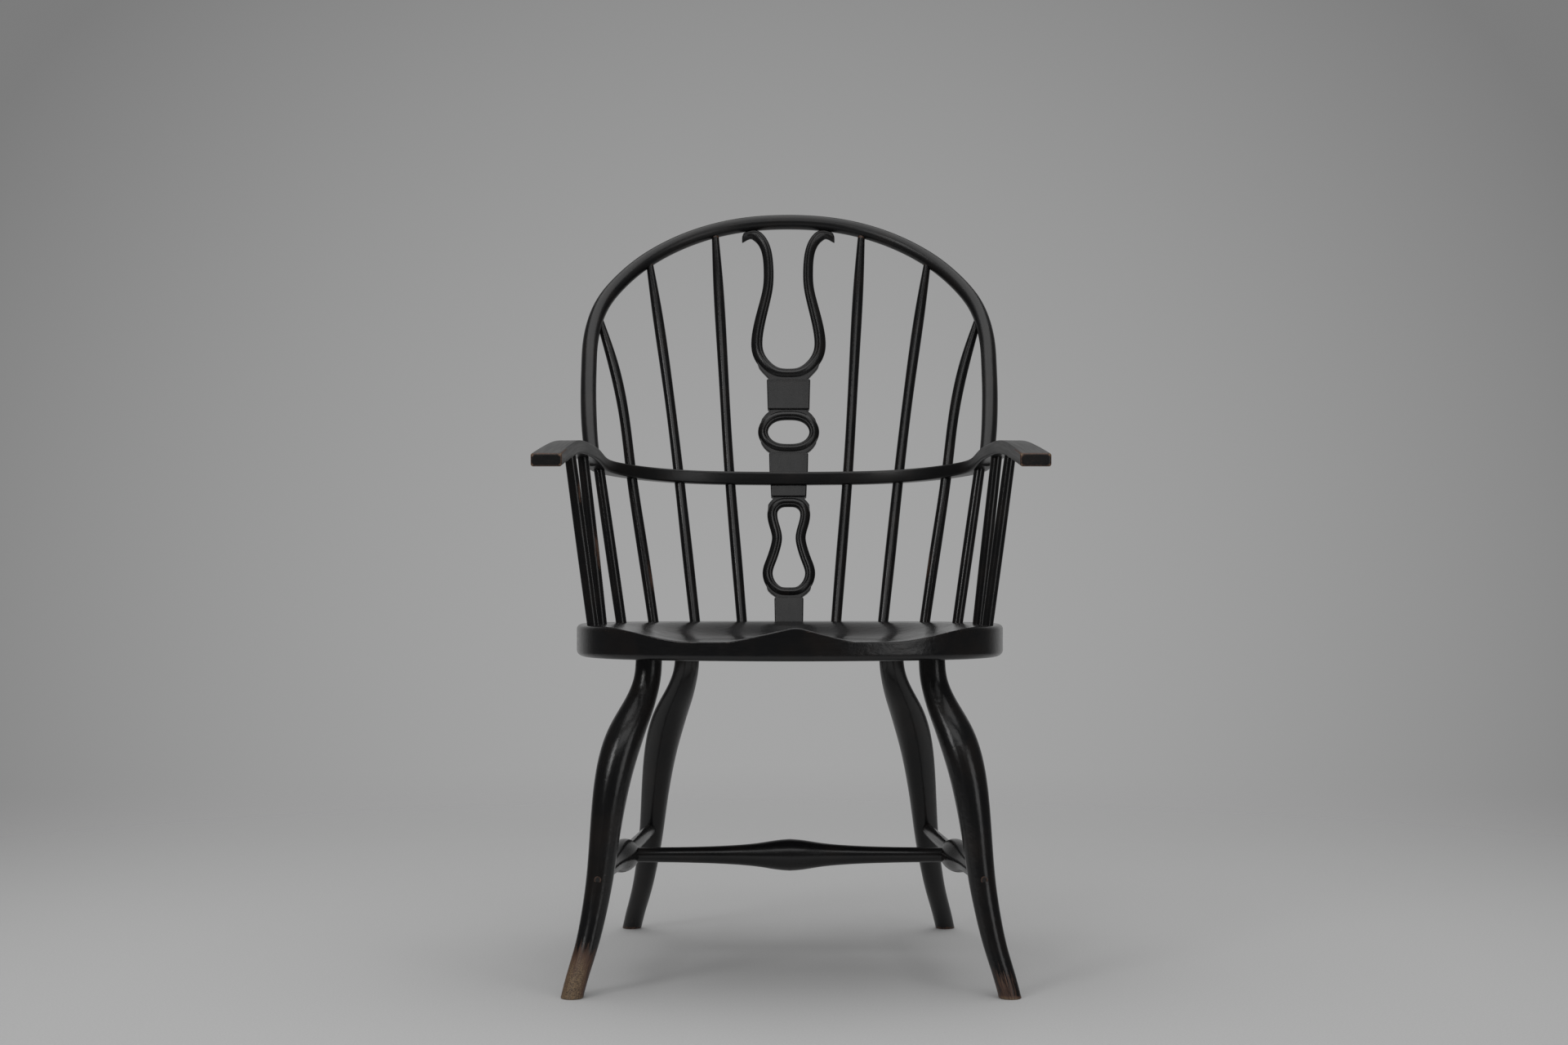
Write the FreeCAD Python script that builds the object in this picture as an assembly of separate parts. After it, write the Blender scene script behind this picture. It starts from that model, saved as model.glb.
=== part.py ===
# Double bow Windsor armchair in black paint: a saddled plank seat on four cabriole legs with an
# H stretcher, a bent arm bow on spindles, a bent back hoop, and a pierced splat in two lengths.
# Millimetres. X runs to the right as the chair is seen from the front, Y to its back, Z up.
# Every piece is a separate solid, and each joint's hole is the piece that goes into it,
# made again a little larger by the glue gap.

import FreeCAD
import Part
import math
import os

Vector = FreeCAD.Vector

# Fits
glue_gap = 0.1
overrun = 6.0

# Seat: a plank with a shield outline, its top hollowed in two lobes around a front ridge
seat_height = 442.0
seat_thickness = 40.0
seat_half_width = 280.0
seat_depth = 430.0
seat_top_round = 6.0
seat_bottom_round = 7.0
seat_outline_shares = [
    (0.0, 0.0), (0.34, 0.03), (0.62, 0.09), (0.79, 0.165), (0.91, 0.28), (0.97, 0.42), (0.995, 0.57),
    (0.983, 0.71), (0.905, 0.83), (0.73, 0.915), (0.49, 0.968), (0.24, 0.993), (0.0, 1.0),
]
dish_half_width = 240.0
dish_centre_depth = 200.0
dish_back_reach = 178.0
dish_front_sink = 16.5
dish_back_sink = 20.0
dish_slope_share = 0.5
dish_corner_power = 2.2
rim_lift = 0.5
ridge_half_width = 73.0
ridge_length = 120.0
ridge_tip = 4.0
ridge_power = 1.15
dish_rows = 25
dish_columns = 33

# Legs: one cabriole pattern, sawn in an upright plane that points outwards at each corner
leg_front_spread = 176.0
leg_front_setback = 110.0
leg_front_splay = 86.0
leg_front_lead = 107.0
leg_rear_spread = 138.0
leg_rear_setback = 350.0
leg_rear_splay = 86.5
leg_rear_trail = 172.0
knee_diameter = 48.5
leg_tenon_diameter = 25.0
leg_tenon_length = 22.0
# Each station: height, run outwards and girth, as shares of the leg's height, run and knee.
leg_station_shares = [
    (1.0, 0.0, 0.68), (0.945, 0.018, 0.695), (0.89, 0.085, 0.775), (0.84, 0.18, 0.895),
    (0.793, 0.275, 0.975), (0.744, 0.355, 1.0), (0.65, 0.465, 0.94), (0.575, 0.523, 0.866),
    (0.478, 0.578, 0.775), (0.333, 0.652, 0.68), (0.236, 0.725, 0.63), (0.142, 0.82, 0.59),
    (0.052, 0.94, 0.567), (0.0, 1.0, 0.557),
]

# Stretchers
stretcher_front_height = 138.5
stretcher_rear_height = 150.5
stretcher_tenon_past_axis = 7.0
side_end_diameter = 16.5
side_bulb_diameter = 41.0
side_rod_diameter = 18.0
side_tail_diameter = 15.5
cross_share = 0.425
# Turned profile behind the front leg's axis: place and diameter between end and bulb. The last
# place is a sharp rim, where the profile steps down to a thin rod that runs to the rear leg.
side_profile_shares = [
    (0.0, 0.0), (0.09, 0.03), (0.19, 0.12), (0.28, 0.33), (0.35, 0.79), (0.41, 1.0), (0.46, 0.86),
    (0.495, 0.52),
]
cross_end_diameter = 18.5
cross_bulb_diameter = 41.0
cross_tenon_past_axis = 3.0
cross_profile_shares = [
    (0.0, 0.0), (0.30, 0.05), (0.48, 0.13), (0.62, 0.24), (0.74, 0.40), (0.82, 0.57), (0.89, 0.78),
    (0.95, 0.93), (1.0, 1.0),
]
peg_diameter = 8.5
peg_past_axis = 8.0

# Arm bow: a bent rail, level and plain behind, that rises to a crest and ends in flat hands.
arm_half_spread = 292.0
arm_back_setback = 475.0
hand_overhang = 5.0
rail_top_height = 651.0
arm_crest_rise = 26.5
rail_width = 25.0
hand_width = 37.5
rail_thickness = 18.5
hand_thickness = 16.2
arm_edge_round = 3.2
hand_end_round = 1.5
# Each station of the right half: sideways, back from the hand's front, and rise of the top as
# shares, then how far width and thickness have gone from the rail's to the hand's.
arm_station_shares = [
    (0.0, 1.0, 0.0, 0.0, 0.0), (0.154, 0.9975, 0.007, 0.0, 0.0), (0.2945, 0.99, 0.018, 0.0, 0.0),
    (0.531, 0.95, 0.075, 0.0, 0.13), (0.74, 0.868, 0.226, 0.0, 0.3), (0.832, 0.796, 0.34, 0.0, 0.48),
    (0.877, 0.721, 0.47, 0.04, 0.56), (0.899, 0.633, 0.755, 0.08, 0.56), (0.918, 0.531, 0.925, 0.2, 0.52),
    (0.94, 0.4375, 1.0, 0.4, 0.46), (0.961, 0.333, 0.943, 0.6, 0.56), (0.979, 0.208, 0.64, 0.8, 0.74),
    (0.993, 0.094, 0.28, 0.96, 0.87), (1.0, 0.0, 0.0, 1.0, 1.0),
]

# Back hoop: a bent round rod in a raked plane, standing on the arm bow
hoop_foot_share = 0.633
hoop_rake_degrees = 38.7
hoop_half_width = 276.5
hoop_rise = 461.0
hoop_diameter = 21.4
hoop_foot_diameter = 20.0
hoop_taper_length = 90.0
hoop_foot_sink = 7.0
hoop_shares = [
    (0.965, 0.07), (0.98, 0.16), (0.992, 0.27), (0.998, 0.37), (1.0, 0.45), (0.985, 0.55), (0.945, 0.64),
    (0.875, 0.72), (0.775, 0.80), (0.64, 0.875), (0.455, 0.943), (0.25, 0.985),
]
hoop_rings_per_half = 15

# Spindles
spindle_seat_diameter = 14.2
spindle_belly_diameter = 15.2
spindle_rail_diameter = 14.4
spindle_tip_diameter = 9.6
spindle_tip_taper = 75.0
spindle_socket_depth = 21.0
spindle_top_cover = 4.0
spindle_tip_middle_share = 0.45
# Long ones, through the arm bow to the hoop, as shares: across and back on the seat, across the
# arm bow and across the hoop.
long_spindle_shares = {
    "inner": (0.233, 0.93, 0.284, 0.387),
    "middle": (0.463, 0.907, 0.527, 0.727),
    "outer": (0.6625, 0.849, 0.747, 0.973),
}
# How far each bows inwards above the arm bow, as a share of its length there.
spindle_bow_shares = {"inner": 0.0, "middle": 0.006, "outer": 0.034}
# Short ones, that end inside the arm bow, as shares: across and back on the seat, back on the arm.
short_spindle_shares = {
    "rear": (0.806, 0.726, 0.708),
    "middle": (0.878, 0.544, 0.50),
    "front": (0.8965, 0.372, 0.342),
}

# Splat: a thin board, tenoned below and above the arm bow, with flat blocks and round bars
splat_seat_share = 0.9465
splat_thickness = 11.0
splat_tenon_length = 18.0
splat_rail_tenon_length = 6.5
splat_rail_tenon_width = 38.0
splat_rail_tenon_thickness = 6.5
splat_block_sink = 9.0
block_chamfer = 1.2
neck_thickness = 6.8
lower_foot_width = 40.5
lower_head_width = 50.5
upper_foot_width = 55.5
upper_middle_width = 62.5
bar_depth_share = 0.84
loop_bar_width = 14.2
ring_bar_width = 14.2
lyre_bar_width = 15.0
loop_half_width = 29.5
ring_half_width = 36.4
lyre_half_width = 45.5
scroll_half_reach = 67.5
scroll_tenon_diameter = 7.0
scroll_tenon_length = 7.0
# Heights are shares of the clear length of each board between seat, arm bow and hoop.
lower_foot_top_share = 0.165
lower_head_bottom_share = 0.905
loop_shares = [
    (0.0, 0.208), (0.42, 0.214), (0.82, 0.263), (1.0, 0.355), (0.84, 0.44), (0.63, 0.54),
    (0.56, 0.61), (0.63, 0.67), (0.77, 0.755), (0.73, 0.82), (0.40, 0.865), (0.0, 0.872),
]
# Necks: webs that widen from a block into a bar. Each lists its right edge, out from the block, and
# then comes back inside the bar; sideways as shares of the figure's half width.
loop_foot_neck_shares = [
    (0.597, 0.150), (0.597, 0.165), (0.685, 0.180), (0.84, 0.197), (0.983, 0.219), (1.05, 0.240),
    (1.105, 0.264), (0.82, 0.263), (0.42, 0.214),
]
loop_head_neck_shares = [
    (0.715, 0.920), (0.715, 0.900), (0.881, 0.872), (0.986, 0.850), (1.03, 0.820), (1.01, 0.785),
    (0.76, 0.790), (0.73, 0.820), (0.40, 0.865),
]
ring_foot_neck_shares = [
    (0.692, 0.066), (0.692, 0.074), (0.852, 0.086), (0.964, 0.098), (1.071, 0.114), (1.14, 0.134),
    (0.907, 0.136), (0.82, 0.120), (0.45, 0.0985),
]
ring_head_neck_shares = [
    (0.742, 0.257), (0.742, 0.2455), (0.89, 0.232), (1.038, 0.213), (1.135, 0.194), (0.934, 0.1845),
    (0.82, 0.203), (0.45, 0.2245),
]
lyre_neck_shares = [
    (0.596, 0.364), (0.596, 0.373), (0.697, 0.3875), (0.807, 0.402), (0.927, 0.419), (1.011, 0.439),
    (1.044, 0.449), (0.84, 0.455), (0.72, 0.434), (0.36, 0.403),
]
upper_foot_top_share = 0.074
upper_middle_bottom_share = 0.249
upper_middle_top_share = 0.373
ring_shares = [
    (0.0, 0.094), (0.45, 0.0985), (0.82, 0.120), (1.0, 0.1615), (0.82, 0.203), (0.45, 0.2245),
    (0.0, 0.229),
]
# Lyre: sideways share of its half width, height share, and bar width as a share of lyre_bar_width.
lyre_shares = [
    (0.0, 0.398, 1.05), (0.36, 0.403, 1.08), (0.72, 0.434, 1.1), (0.965, 0.487, 1.1),
    (0.995, 0.54, 1.08), (0.91, 0.61, 1.05), (0.76, 0.69, 1.0), (0.645, 0.765, 0.97),
    (0.63, 0.825, 0.97), (0.70, 0.89, 1.0), (0.86, 0.945, 1.08),
]
# Scroll: the end of the lyre, cut upright, sideways as a share of its own reach.
scroll_shares = [(0.67, 0.975, 1.06), (0.81, 0.977, 0.88), (0.911, 0.973, 0.85), (1.0, 0.9655, 0.95)]
scroll_tenon_share = 0.66

sides = {"right": 1, "left": -1}


def circle_wire(centre, direction, diameter, seam):
    """A circle about a point, square to a direction, that starts on the side of the seam direction."""
    begin = seam - direction * seam.dot(direction)
    begin.normalize()
    circle = Part.makeCircle(diameter / 2)
    turn = FreeCAD.Rotation(begin, direction.cross(begin), direction, "ZXY")
    circle.Placement = FreeCAD.Placement(centre, turn)
    return Part.Wire([circle])


def solid_loft(wires):
    """A closed solid through a row of wires."""
    return Part.makeLoft(wires, True)


def spline_through(points):
    """A smooth curve through points."""
    curve = Part.BSplineCurve()
    curve.interpolate(points)
    return curve


def mirrored(shape):
    """The same shape on the other side of the chair's middle plane."""
    return shape.mirror(Vector(0, 0, 0), Vector(1, 0, 0))


def on_side(shape, side):
    """A right hand shape, or its mirror image for the left side."""
    return shape if sides[side] > 0 else mirrored(shape)


def smooth_step(share):
    """Zero below 0, one above 1, and a smooth rise between."""
    held = min(max(share, 0), 1)
    return held * held * (3 - 2 * held)


def parameter_where(curve, measure, value, low=None, high=None):
    """The parameter between low and high where a rising or falling measure of the curve is value."""
    low = curve.FirstParameter if low is None else low
    high = curve.LastParameter if high is None else high
    rising = measure(curve.value(high)) > measure(curve.value(low))
    for _ in range(48):
        middle = (low + high) / 2
        if (measure(curve.value(middle)) < value) == rising:
            low = middle
        else:
            high = middle
    return (low + high) / 2


# Seat


def seat_slab():
    """The plank before it is hollowed, with its top and bottom edges rounded."""
    half = [Vector(x * seat_half_width, y * seat_depth, 0) for x, y in seat_outline_shares]
    other = [Vector(-p.x, p.y, p.z) for p in reversed(half[1:-1])]
    outline = Part.BSplineCurve()
    outline.interpolate(half + other, PeriodicFlag=True)
    face = Part.Face(Part.Wire([outline.toShape()]))
    face.translate(Vector(0, 0, seat_height - seat_thickness))
    slab = face.extrude(Vector(0, 0, seat_thickness))
    upper = [e for e in slab.Edges if e.BoundBox.ZMin > seat_height - seat_thickness / 2]
    lower = [e for e in slab.Edges if e.BoundBox.ZMax < seat_height - seat_thickness / 2]
    return slab.makeFillet(seat_top_round, upper).makeFillet(seat_bottom_round, lower)


def dish_sink(x, y):
    """How far the hollow lies below the rim: a trough open to the front, less the front ridge."""
    back = max(y - dish_centre_depth, 0) / dish_back_reach
    side = abs(x) / dish_half_width
    radius = (side ** dish_corner_power + back ** dish_corner_power) ** (1 / dish_corner_power)
    fall = smooth_step((1 - radius) / dish_slope_share)
    deepening = smooth_step(y / dish_centre_depth)
    sink = dish_front_sink + (dish_back_sink - dish_front_sink) * deepening + rim_lift
    off_middle = (math.hypot(x, ridge_tip) - ridge_tip) / ridge_half_width
    ridge = max(1 - off_middle, 0) ** ridge_power * math.exp(-((max(y, 0) / ridge_length) ** 2))
    return sink * fall * (1 - ridge) - rim_lift


def dish_tool():
    """All that is cut away above the hollow."""
    reach = seat_half_width + overrun
    grid = []
    for i in range(dish_rows):
        y = -overrun + (seat_depth + 2 * overrun) * i / (dish_rows - 1)
        row = []
        for j in range(dish_columns):
            x = -reach + 2 * reach * j / (dish_columns - 1)
            row.append(Vector(x, y, seat_height - dish_sink(x, y)))
        grid.append(row)
    surface = Part.BSplineSurface()
    surface.interpolate(grid)
    return surface.toShape().extrude(Vector(0, 0, seat_thickness))


# Legs

legs = {
    "front": (leg_front_spread, leg_front_setback, leg_front_splay, -leg_front_lead),
    "rear": (leg_rear_spread, leg_rear_setback, leg_rear_splay, leg_rear_trail),
}
leg_height = seat_height - seat_thickness


def leg_centre(end, height):
    """The middle of a right hand leg at a height above the floor, between its stations."""
    spread, setback, splay, run = legs[end]
    rows = list(reversed(leg_station_shares))
    share = height / leg_height
    for (low, low_run, _), (high, high_run, _) in zip(rows, rows[1:]):
        if low <= share <= high:
            out = low_run + (high_run - low_run) * (share - low) / (high - low)
    return Vector(spread + splay * out, setback + run * out, height)


def cabriole_leg(end):
    """A right hand leg: level round sections down the curve, with a round tenon on top."""
    spread, setback, splay, run = legs[end]
    up = Vector(0, 0, 1)
    wires = []
    for height, out, girth in leg_station_shares:
        centre = Vector(spread + splay * out, setback + run * out, height * leg_height)
        wires.append(circle_wire(centre, up, girth * knee_diameter, Vector(1, 0, 0)))
    return solid_loft(wires).fuse(leg_tenon(end, 0)).removeSplitter()


def leg_tenon(end, gap):
    """The round tenon on a leg, or with a gap the socket for it."""
    spread, setback, _, _ = legs[end]
    base = Vector(spread, setback, leg_height)
    return Part.makeCylinder(leg_tenon_diameter / 2 + gap, leg_tenon_length + gap, base)


# Stretchers


def turned(start, finish, profile, gap):
    """A turned rod between two points; the profile gives distance along and diameter."""
    axis = finish - start
    axis.normalize()
    wires = []
    for place, diameter in profile:
        wires.append(circle_wire(start + axis * place, axis, diameter + 2 * gap, Vector(0, 0, 1)))
    return wires


def side_axis():
    """Both ends of the right hand side stretcher's axis, on the axes of its legs."""
    front = leg_centre("front", stretcher_front_height)
    rear = leg_centre("rear", stretcher_rear_height)
    return front, rear


def side_stretcher(gap):
    """The right hand side stretcher: a taper to a bulb with a sharp rim, and a thin rod behind it."""
    front, rear = side_axis()
    length = (rear - front).Length
    swell = side_bulb_diameter - side_end_diameter
    past = stretcher_tenon_past_axis + gap
    profile = [(-past, side_end_diameter)]
    profile += [(p * length, side_end_diameter + d * swell) for p, d in side_profile_shares]
    rim, _ = profile[-1]
    rod = [(rim, side_rod_diameter), (length, side_tail_diameter), (length + past, side_tail_diameter)]
    bulb = solid_loft(turned(front, rear, profile, gap))
    return bulb.fuse(solid_loft(turned(front, rear, rod, gap)))


def cross_end():
    """Where the cross stretcher's axis meets the right hand side stretcher's axis."""
    front, rear = side_axis()
    return front + (rear - front) * cross_share


def cross_stretcher(gap):
    """The cross stretcher: a bulb at the middle and a long taper to each end."""
    finish = cross_end()
    start = Vector(-finish.x, finish.y, finish.z)
    half = finish.x
    swell = cross_bulb_diameter - cross_end_diameter
    left = [(p * half, cross_end_diameter + d * swell) for p, d in cross_profile_shares]
    right = [(2 * half - place, diameter) for place, diameter in reversed(left[:-1])]
    past = cross_tenon_past_axis + gap
    profile = [(-past, cross_end_diameter)] + left + right + [(2 * half + past, cross_end_diameter)]
    return solid_loft(turned(start, finish, profile, gap))


def peg(gap):
    """The right hand peg, driven from the front of the leg into the end of the stretcher."""
    front, rear = side_axis()
    axis = rear - front
    axis.normalize()
    outside = knee_diameter / 2
    length = outside + peg_past_axis + gap
    return Part.makeCylinder(peg_diameter / 2 + gap, length, front - axis * outside, axis)


# Arm bow


def arm_setback(share):
    """The distance from the seat's front of a place on the arms, a share back from the hands' front."""
    return share * (arm_back_setback + hand_overhang) - hand_overhang


def arm_stations():
    """The middle, width and thickness of the right half of the arm bow at each station."""
    rows = []
    for side, back, rise, widening, thinning in arm_station_shares:
        thickness = rail_thickness + (hand_thickness - rail_thickness) * thinning
        width = rail_width + (hand_width - rail_width) * widening
        top = rail_top_height + arm_crest_rise * rise
        centre = Vector(side * arm_half_spread, arm_setback(back), top - thickness / 2)
        rows.append((centre, width, thickness))
    return rows


arm_half = spline_through([centre for centre, _, _ in arm_stations()])


def arm_at_side(x):
    """The middle of the rail behind, at a distance from the middle plane."""
    return arm_half.value(parameter_where(arm_half, lambda p: p.x, x))


def arm_at_setback(y):
    """The middle of the right hand arm, at a distance back from the seat's front."""
    return arm_half.value(parameter_where(arm_half, lambda p: p.y, y))


def rounded_section(centre, across, width, thickness, corner):
    """A flat rectangle with round corners, upright, its width along the given direction."""
    up = Vector(0, 0, 1)
    bend = corner * (1 - math.sqrt(0.5))
    w = width / 2
    t = thickness / 2

    def at(a, b):
        return centre + across * a + up * b

    corners = [
        (at(w, t - corner), at(w - bend, t - bend), at(w - corner, t)),
        (at(corner - w, t), at(bend - w, t - bend), at(-w, t - corner)),
        (at(-w, corner - t), at(bend - w, bend - t), at(corner - w, -t)),
        (at(w - corner, -t), at(w - bend, bend - t), at(w, corner - t)),
    ]
    edges = []
    for k, (begin, middle, end) in enumerate(corners):
        edges.append(Part.Arc(begin, middle, end).toShape())
        edges.append(Part.LineSegment(end, corners[(k + 1) % 4][0]).toShape())
    return Part.Wire(edges)


def arm_bow_sections(gap):
    """The outlines across the bent rail, from the left hand round the back to the right hand."""
    left = []
    right = []
    rows = arm_stations()
    for row in rows:
        centre, width, thickness = row
        tangent = arm_half.tangent(arm_half.parameter(centre))[0]
        across = Vector(tangent.y, -tangent.x, 0)
        across.normalize()
        if row is rows[0]:
            across = Vector(0, -1, 0)
        if row is rows[-1]:
            across = Vector(-1, 0, 0)
        size = (width + 2 * gap, thickness + 2 * gap, arm_edge_round)
        right.append(rounded_section(centre, across, *size))
        opposite = Vector(-centre.x, centre.y, centre.z)
        left.insert(0, rounded_section(opposite, Vector(-across.x, across.y, 0), *size))
    return left[:-1] + right


# Back hoop

hoop_rake = math.radians(hoop_rake_degrees)


def hoop_place(x, along):
    """A point in the hoop's raked plane: sideways, and distance up the plane from its foot."""
    foot = arm_at_setback(arm_setback(hoop_foot_share))
    return Vector(x, foot.y + along * math.sin(hoop_rake), foot.z + along * math.cos(hoop_rake))


def hoop_curve():
    """The hoop's middle line from the right foot over the top to the left foot."""
    foot = arm_at_setback(arm_setback(hoop_foot_share))
    right = [hoop_place(foot.x, 0)]
    right += [hoop_place(x * hoop_half_width, s * hoop_rise) for x, s in hoop_shares]
    left = [Vector(-p.x, p.y, p.z) for p in reversed(right)]
    return spline_through(right + [hoop_place(0, hoop_rise)] + left)


hoop_line = hoop_curve()


def back_hoop(gap):
    """The hoop: round sections square to its middle line, thinner at the feet."""
    wires = []
    count = 2 * hoop_rings_per_half
    square = Vector(0, math.cos(hoop_rake), -math.sin(hoop_rake))
    first = hoop_line.StartPoint
    up = hoop_line.tangent(hoop_line.FirstParameter)[0]
    thin = hoop_foot_diameter + 2 * gap
    wires.append(circle_wire(first - up * (hoop_foot_sink + gap), up, thin, square))
    total = hoop_line.length()
    for k in range(count + 1):
        distance = total * k / count
        parameter = hoop_line.parameterAtDistance(distance)
        reach = min(distance, total - distance) / hoop_taper_length
        diameter = hoop_foot_diameter + (hoop_diameter - hoop_foot_diameter) * smooth_step(reach)
        tangent = hoop_line.tangent(parameter)[0]
        wires.append(circle_wire(hoop_line.value(parameter), tangent, diameter + 2 * gap, square))
    last = hoop_line.EndPoint
    down = hoop_line.tangent(hoop_line.LastParameter)[0]
    wires.append(circle_wire(last + down * (hoop_foot_sink + gap), down, thin, square))
    return solid_loft(wires)


def hoop_at_side(x):
    """The hoop's middle line at a distance from the middle plane, on its upper right part."""
    widest = hoop_place(hoop_half_width, max(hoop_shares)[1] * hoop_rise)
    low = hoop_line.parameter(widest)
    apex = hoop_line.parameter(hoop_place(0, hoop_rise))
    return hoop_line.value(parameter_where(hoop_line, lambda p: p.x, x, low, apex))


# Spindles


def rod(path, stations, gap):
    """A slender rod along a curve; the stations give distance along and diameter."""
    wires = []
    for distance, diameter in stations:
        parameter = path.parameterAtDistance(distance)
        tangent = path.tangent(parameter)[0]
        wires.append(circle_wire(path.value(parameter), tangent, diameter + 2 * gap, Vector(0, 1, 0)))
    up = path.tangent(path.FirstParameter)[0]
    begin = path.StartPoint - up * (overrun + gap)
    wires.insert(0, circle_wire(begin, up, stations[0][1] + 2 * gap, Vector(0, 1, 0)))
    return solid_loft(wires)


def long_spindle(name, gap):
    """A right hand spindle from the seat through the arm bow into the hoop."""
    seat_side, seat_back, arm_side, hoop_side = long_spindle_shares[name]
    foot = Vector(seat_side * seat_half_width, seat_back * seat_depth, seat_height)
    arm = arm_at_side(arm_side * arm_half_spread)
    head = hoop_at_side(hoop_side * hoop_half_width)
    rise = arm - foot
    rise.normalize()
    socket = foot - rise * (spindle_socket_depth - overrun)
    upper = head - arm
    middle = (arm + head) * 0.5 - Vector(spindle_bow_shares[name] * upper.Length, 0, 0)
    path = spline_through([socket, (foot + arm) * 0.5, arm, middle, head])
    total = path.length()
    rail = (arm - socket).Length
    mean_tip = (spindle_rail_diameter + spindle_tip_diameter) / 2
    stations = [
        (0, spindle_seat_diameter),
        (rail * 0.5, spindle_belly_diameter),
        (rail, spindle_rail_diameter),
        ((rail + total - spindle_tip_taper) * 0.5, spindle_rail_diameter),
        (total - spindle_tip_taper, spindle_rail_diameter),
        (total - spindle_tip_taper * spindle_tip_middle_share, mean_tip),
        (total, spindle_tip_diameter),
    ]
    return rod(path, stations, gap)


def short_spindle(name, gap):
    """A right hand spindle from the seat up into the arm."""
    seat_side, seat_back, arm_back = short_spindle_shares[name]
    foot = Vector(seat_side * seat_half_width, seat_back * seat_depth, seat_height)
    arm = arm_at_setback(arm_setback(arm_back))
    rise = arm - foot
    rise.normalize()
    head = arm + rise * (hand_thickness / 2 - spindle_top_cover + gap)
    socket = foot - rise * (spindle_socket_depth - overrun)
    total = (head - socket).Length
    wires = []
    stations = [
        (-(overrun + gap), spindle_seat_diameter),
        (0, spindle_seat_diameter),
        (total * 0.5, spindle_belly_diameter),
        (total, spindle_rail_diameter),
    ]
    for distance, diameter in stations:
        wires.append(circle_wire(socket + rise * distance, rise, diameter + 2 * gap, Vector(0, 1, 0)))
    return solid_loft(wires)


# Splat boards


class Board:
    """A flat board leaning back in a plane: sideways places, and places along its height."""

    def __init__(self, foot, head):
        self.foot = foot
        rise = head - foot
        self.length = rise.Length
        rise.normalize()
        self.rise = rise

    def at(self, x, share):
        """A point of the board's middle plane."""
        return self.foot + Vector(x, 0, 0) + self.rise * (share * self.length)

    def place(self, shape):
        """A shape drawn upright at the origin, leaned into the board's plane."""
        turn = FreeCAD.Rotation(Vector(0, 0, 1), self.rise)
        shape.Placement = FreeCAD.Placement(self.foot, turn)
        return shape

    def bar_of(self, width, low, high, thickness):
        """A square-edged block between two distances along the board."""
        base = Vector(-width / 2, -thickness / 2, low)
        return Part.makeBox(width, thickness, high - low, base)

    def tongue(self, width, low, high, thickness):
        """A square-edged block in the board's plane."""
        return self.place(self.bar_of(width, low, high, thickness))

    def block(self, width, low, high):
        """A block as thick as the splat, its upright edges chamfered."""
        box = self.bar_of(width, low, high, splat_thickness)
        upright = [e for e in box.Edges if e.BoundBox.ZLength > (high - low) / 2]
        return self.place(box.makeChamfer(block_chamfer, upright))

    def neck(self, shares, half_width):
        """A web that joins a block to a bar, thinner than both."""
        right = [(x * half_width, z * self.length) for x, z in shares]
        outline = right + [(-x, z) for x, z in reversed(right)]
        corners = [Vector(x, -neck_thickness / 2, z) for x, z in outline]
        face = Part.Face(Part.makePolygon(corners + corners[:1]))
        return self.place(face.extrude(Vector(0, neck_thickness, 0)))

    def bar(self, points, widths):
        """Half of a round bar along points in the plane, from the middle plane outwards."""
        curve = spline_through([Vector(x, 0, z) for x, z in points])
        wires = []
        for (x, z), width in zip(points, widths):
            centre = Vector(x, 0, z)
            tangent = curve.tangent(curve.parameter(centre))[0]
            if x == 0 or x == scroll_half_reach:
                tangent = Vector(1 if tangent.x > 0 else -1, 0, 0)
            wires.append(oval_wire(centre, tangent, width))
        return self.place(solid_loft(wires))


def oval_wire(centre, tangent, width):
    """An ellipse square to a direction in the XZ plane, its width in that plane."""
    across = tangent.cross(Vector(0, 1, 0))
    across.normalize()
    depth = Vector(0, bar_depth_share * width / 2, 0)
    oval = Part.Ellipse(centre + across * (width / 2), centre + depth, centre)
    return Part.Wire([oval.toShape()])


def rail_underside():
    """The height of the rail's underside at the back."""
    return rail_top_height - rail_thickness


def lower_board():
    """The plane of the lower splat, from the seat up to the rail's middle."""
    foot = Vector(0, splat_seat_share * seat_depth, seat_height)
    rail = arm_at_side(0)
    whole = rail - foot
    share = (rail_underside() - seat_height) / whole.z
    return Board(foot, foot + whole * share)


def upper_board():
    """The plane of the upper splat, from the rail's top to the underside of the hoop."""
    rail = arm_at_side(0)
    apex = hoop_place(0, hoop_rise)
    whole = apex - rail
    low = (rail_top_height - rail.z) / whole.z
    foot = rail + whole * low
    scroll = hoop_at_side(scroll_tenon_share * scroll_half_reach)
    high = (scroll.z - rail.z) / whole.z
    reach = (rail + whole * high - foot).Length - hoop_diameter / 2
    direction = whole
    direction.normalize()
    return Board(foot, foot + direction * reach)


def both_halves(half):
    """A half bar and its mirror image in one solid."""
    return half.fuse(mirrored(half))


def rail_tenon(board, from_top, gap):
    """The flat tenon that a splat board sends into the rail."""
    width = splat_rail_tenon_width + 2 * gap
    thickness = splat_rail_tenon_thickness + 2 * gap
    reach = splat_rail_tenon_length + gap
    if from_top:
        return board.tongue(width, board.length - overrun, board.length + reach, thickness)
    return board.tongue(width, -reach, overrun, thickness)


def seat_tenon(gap):
    """The lower board's foot, that stands in the seat's mortise."""
    board = lower_board()
    width = lower_foot_width + 2 * gap
    return board.tongue(width, -splat_tenon_length - gap, overrun, splat_thickness + 2 * gap)


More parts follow.
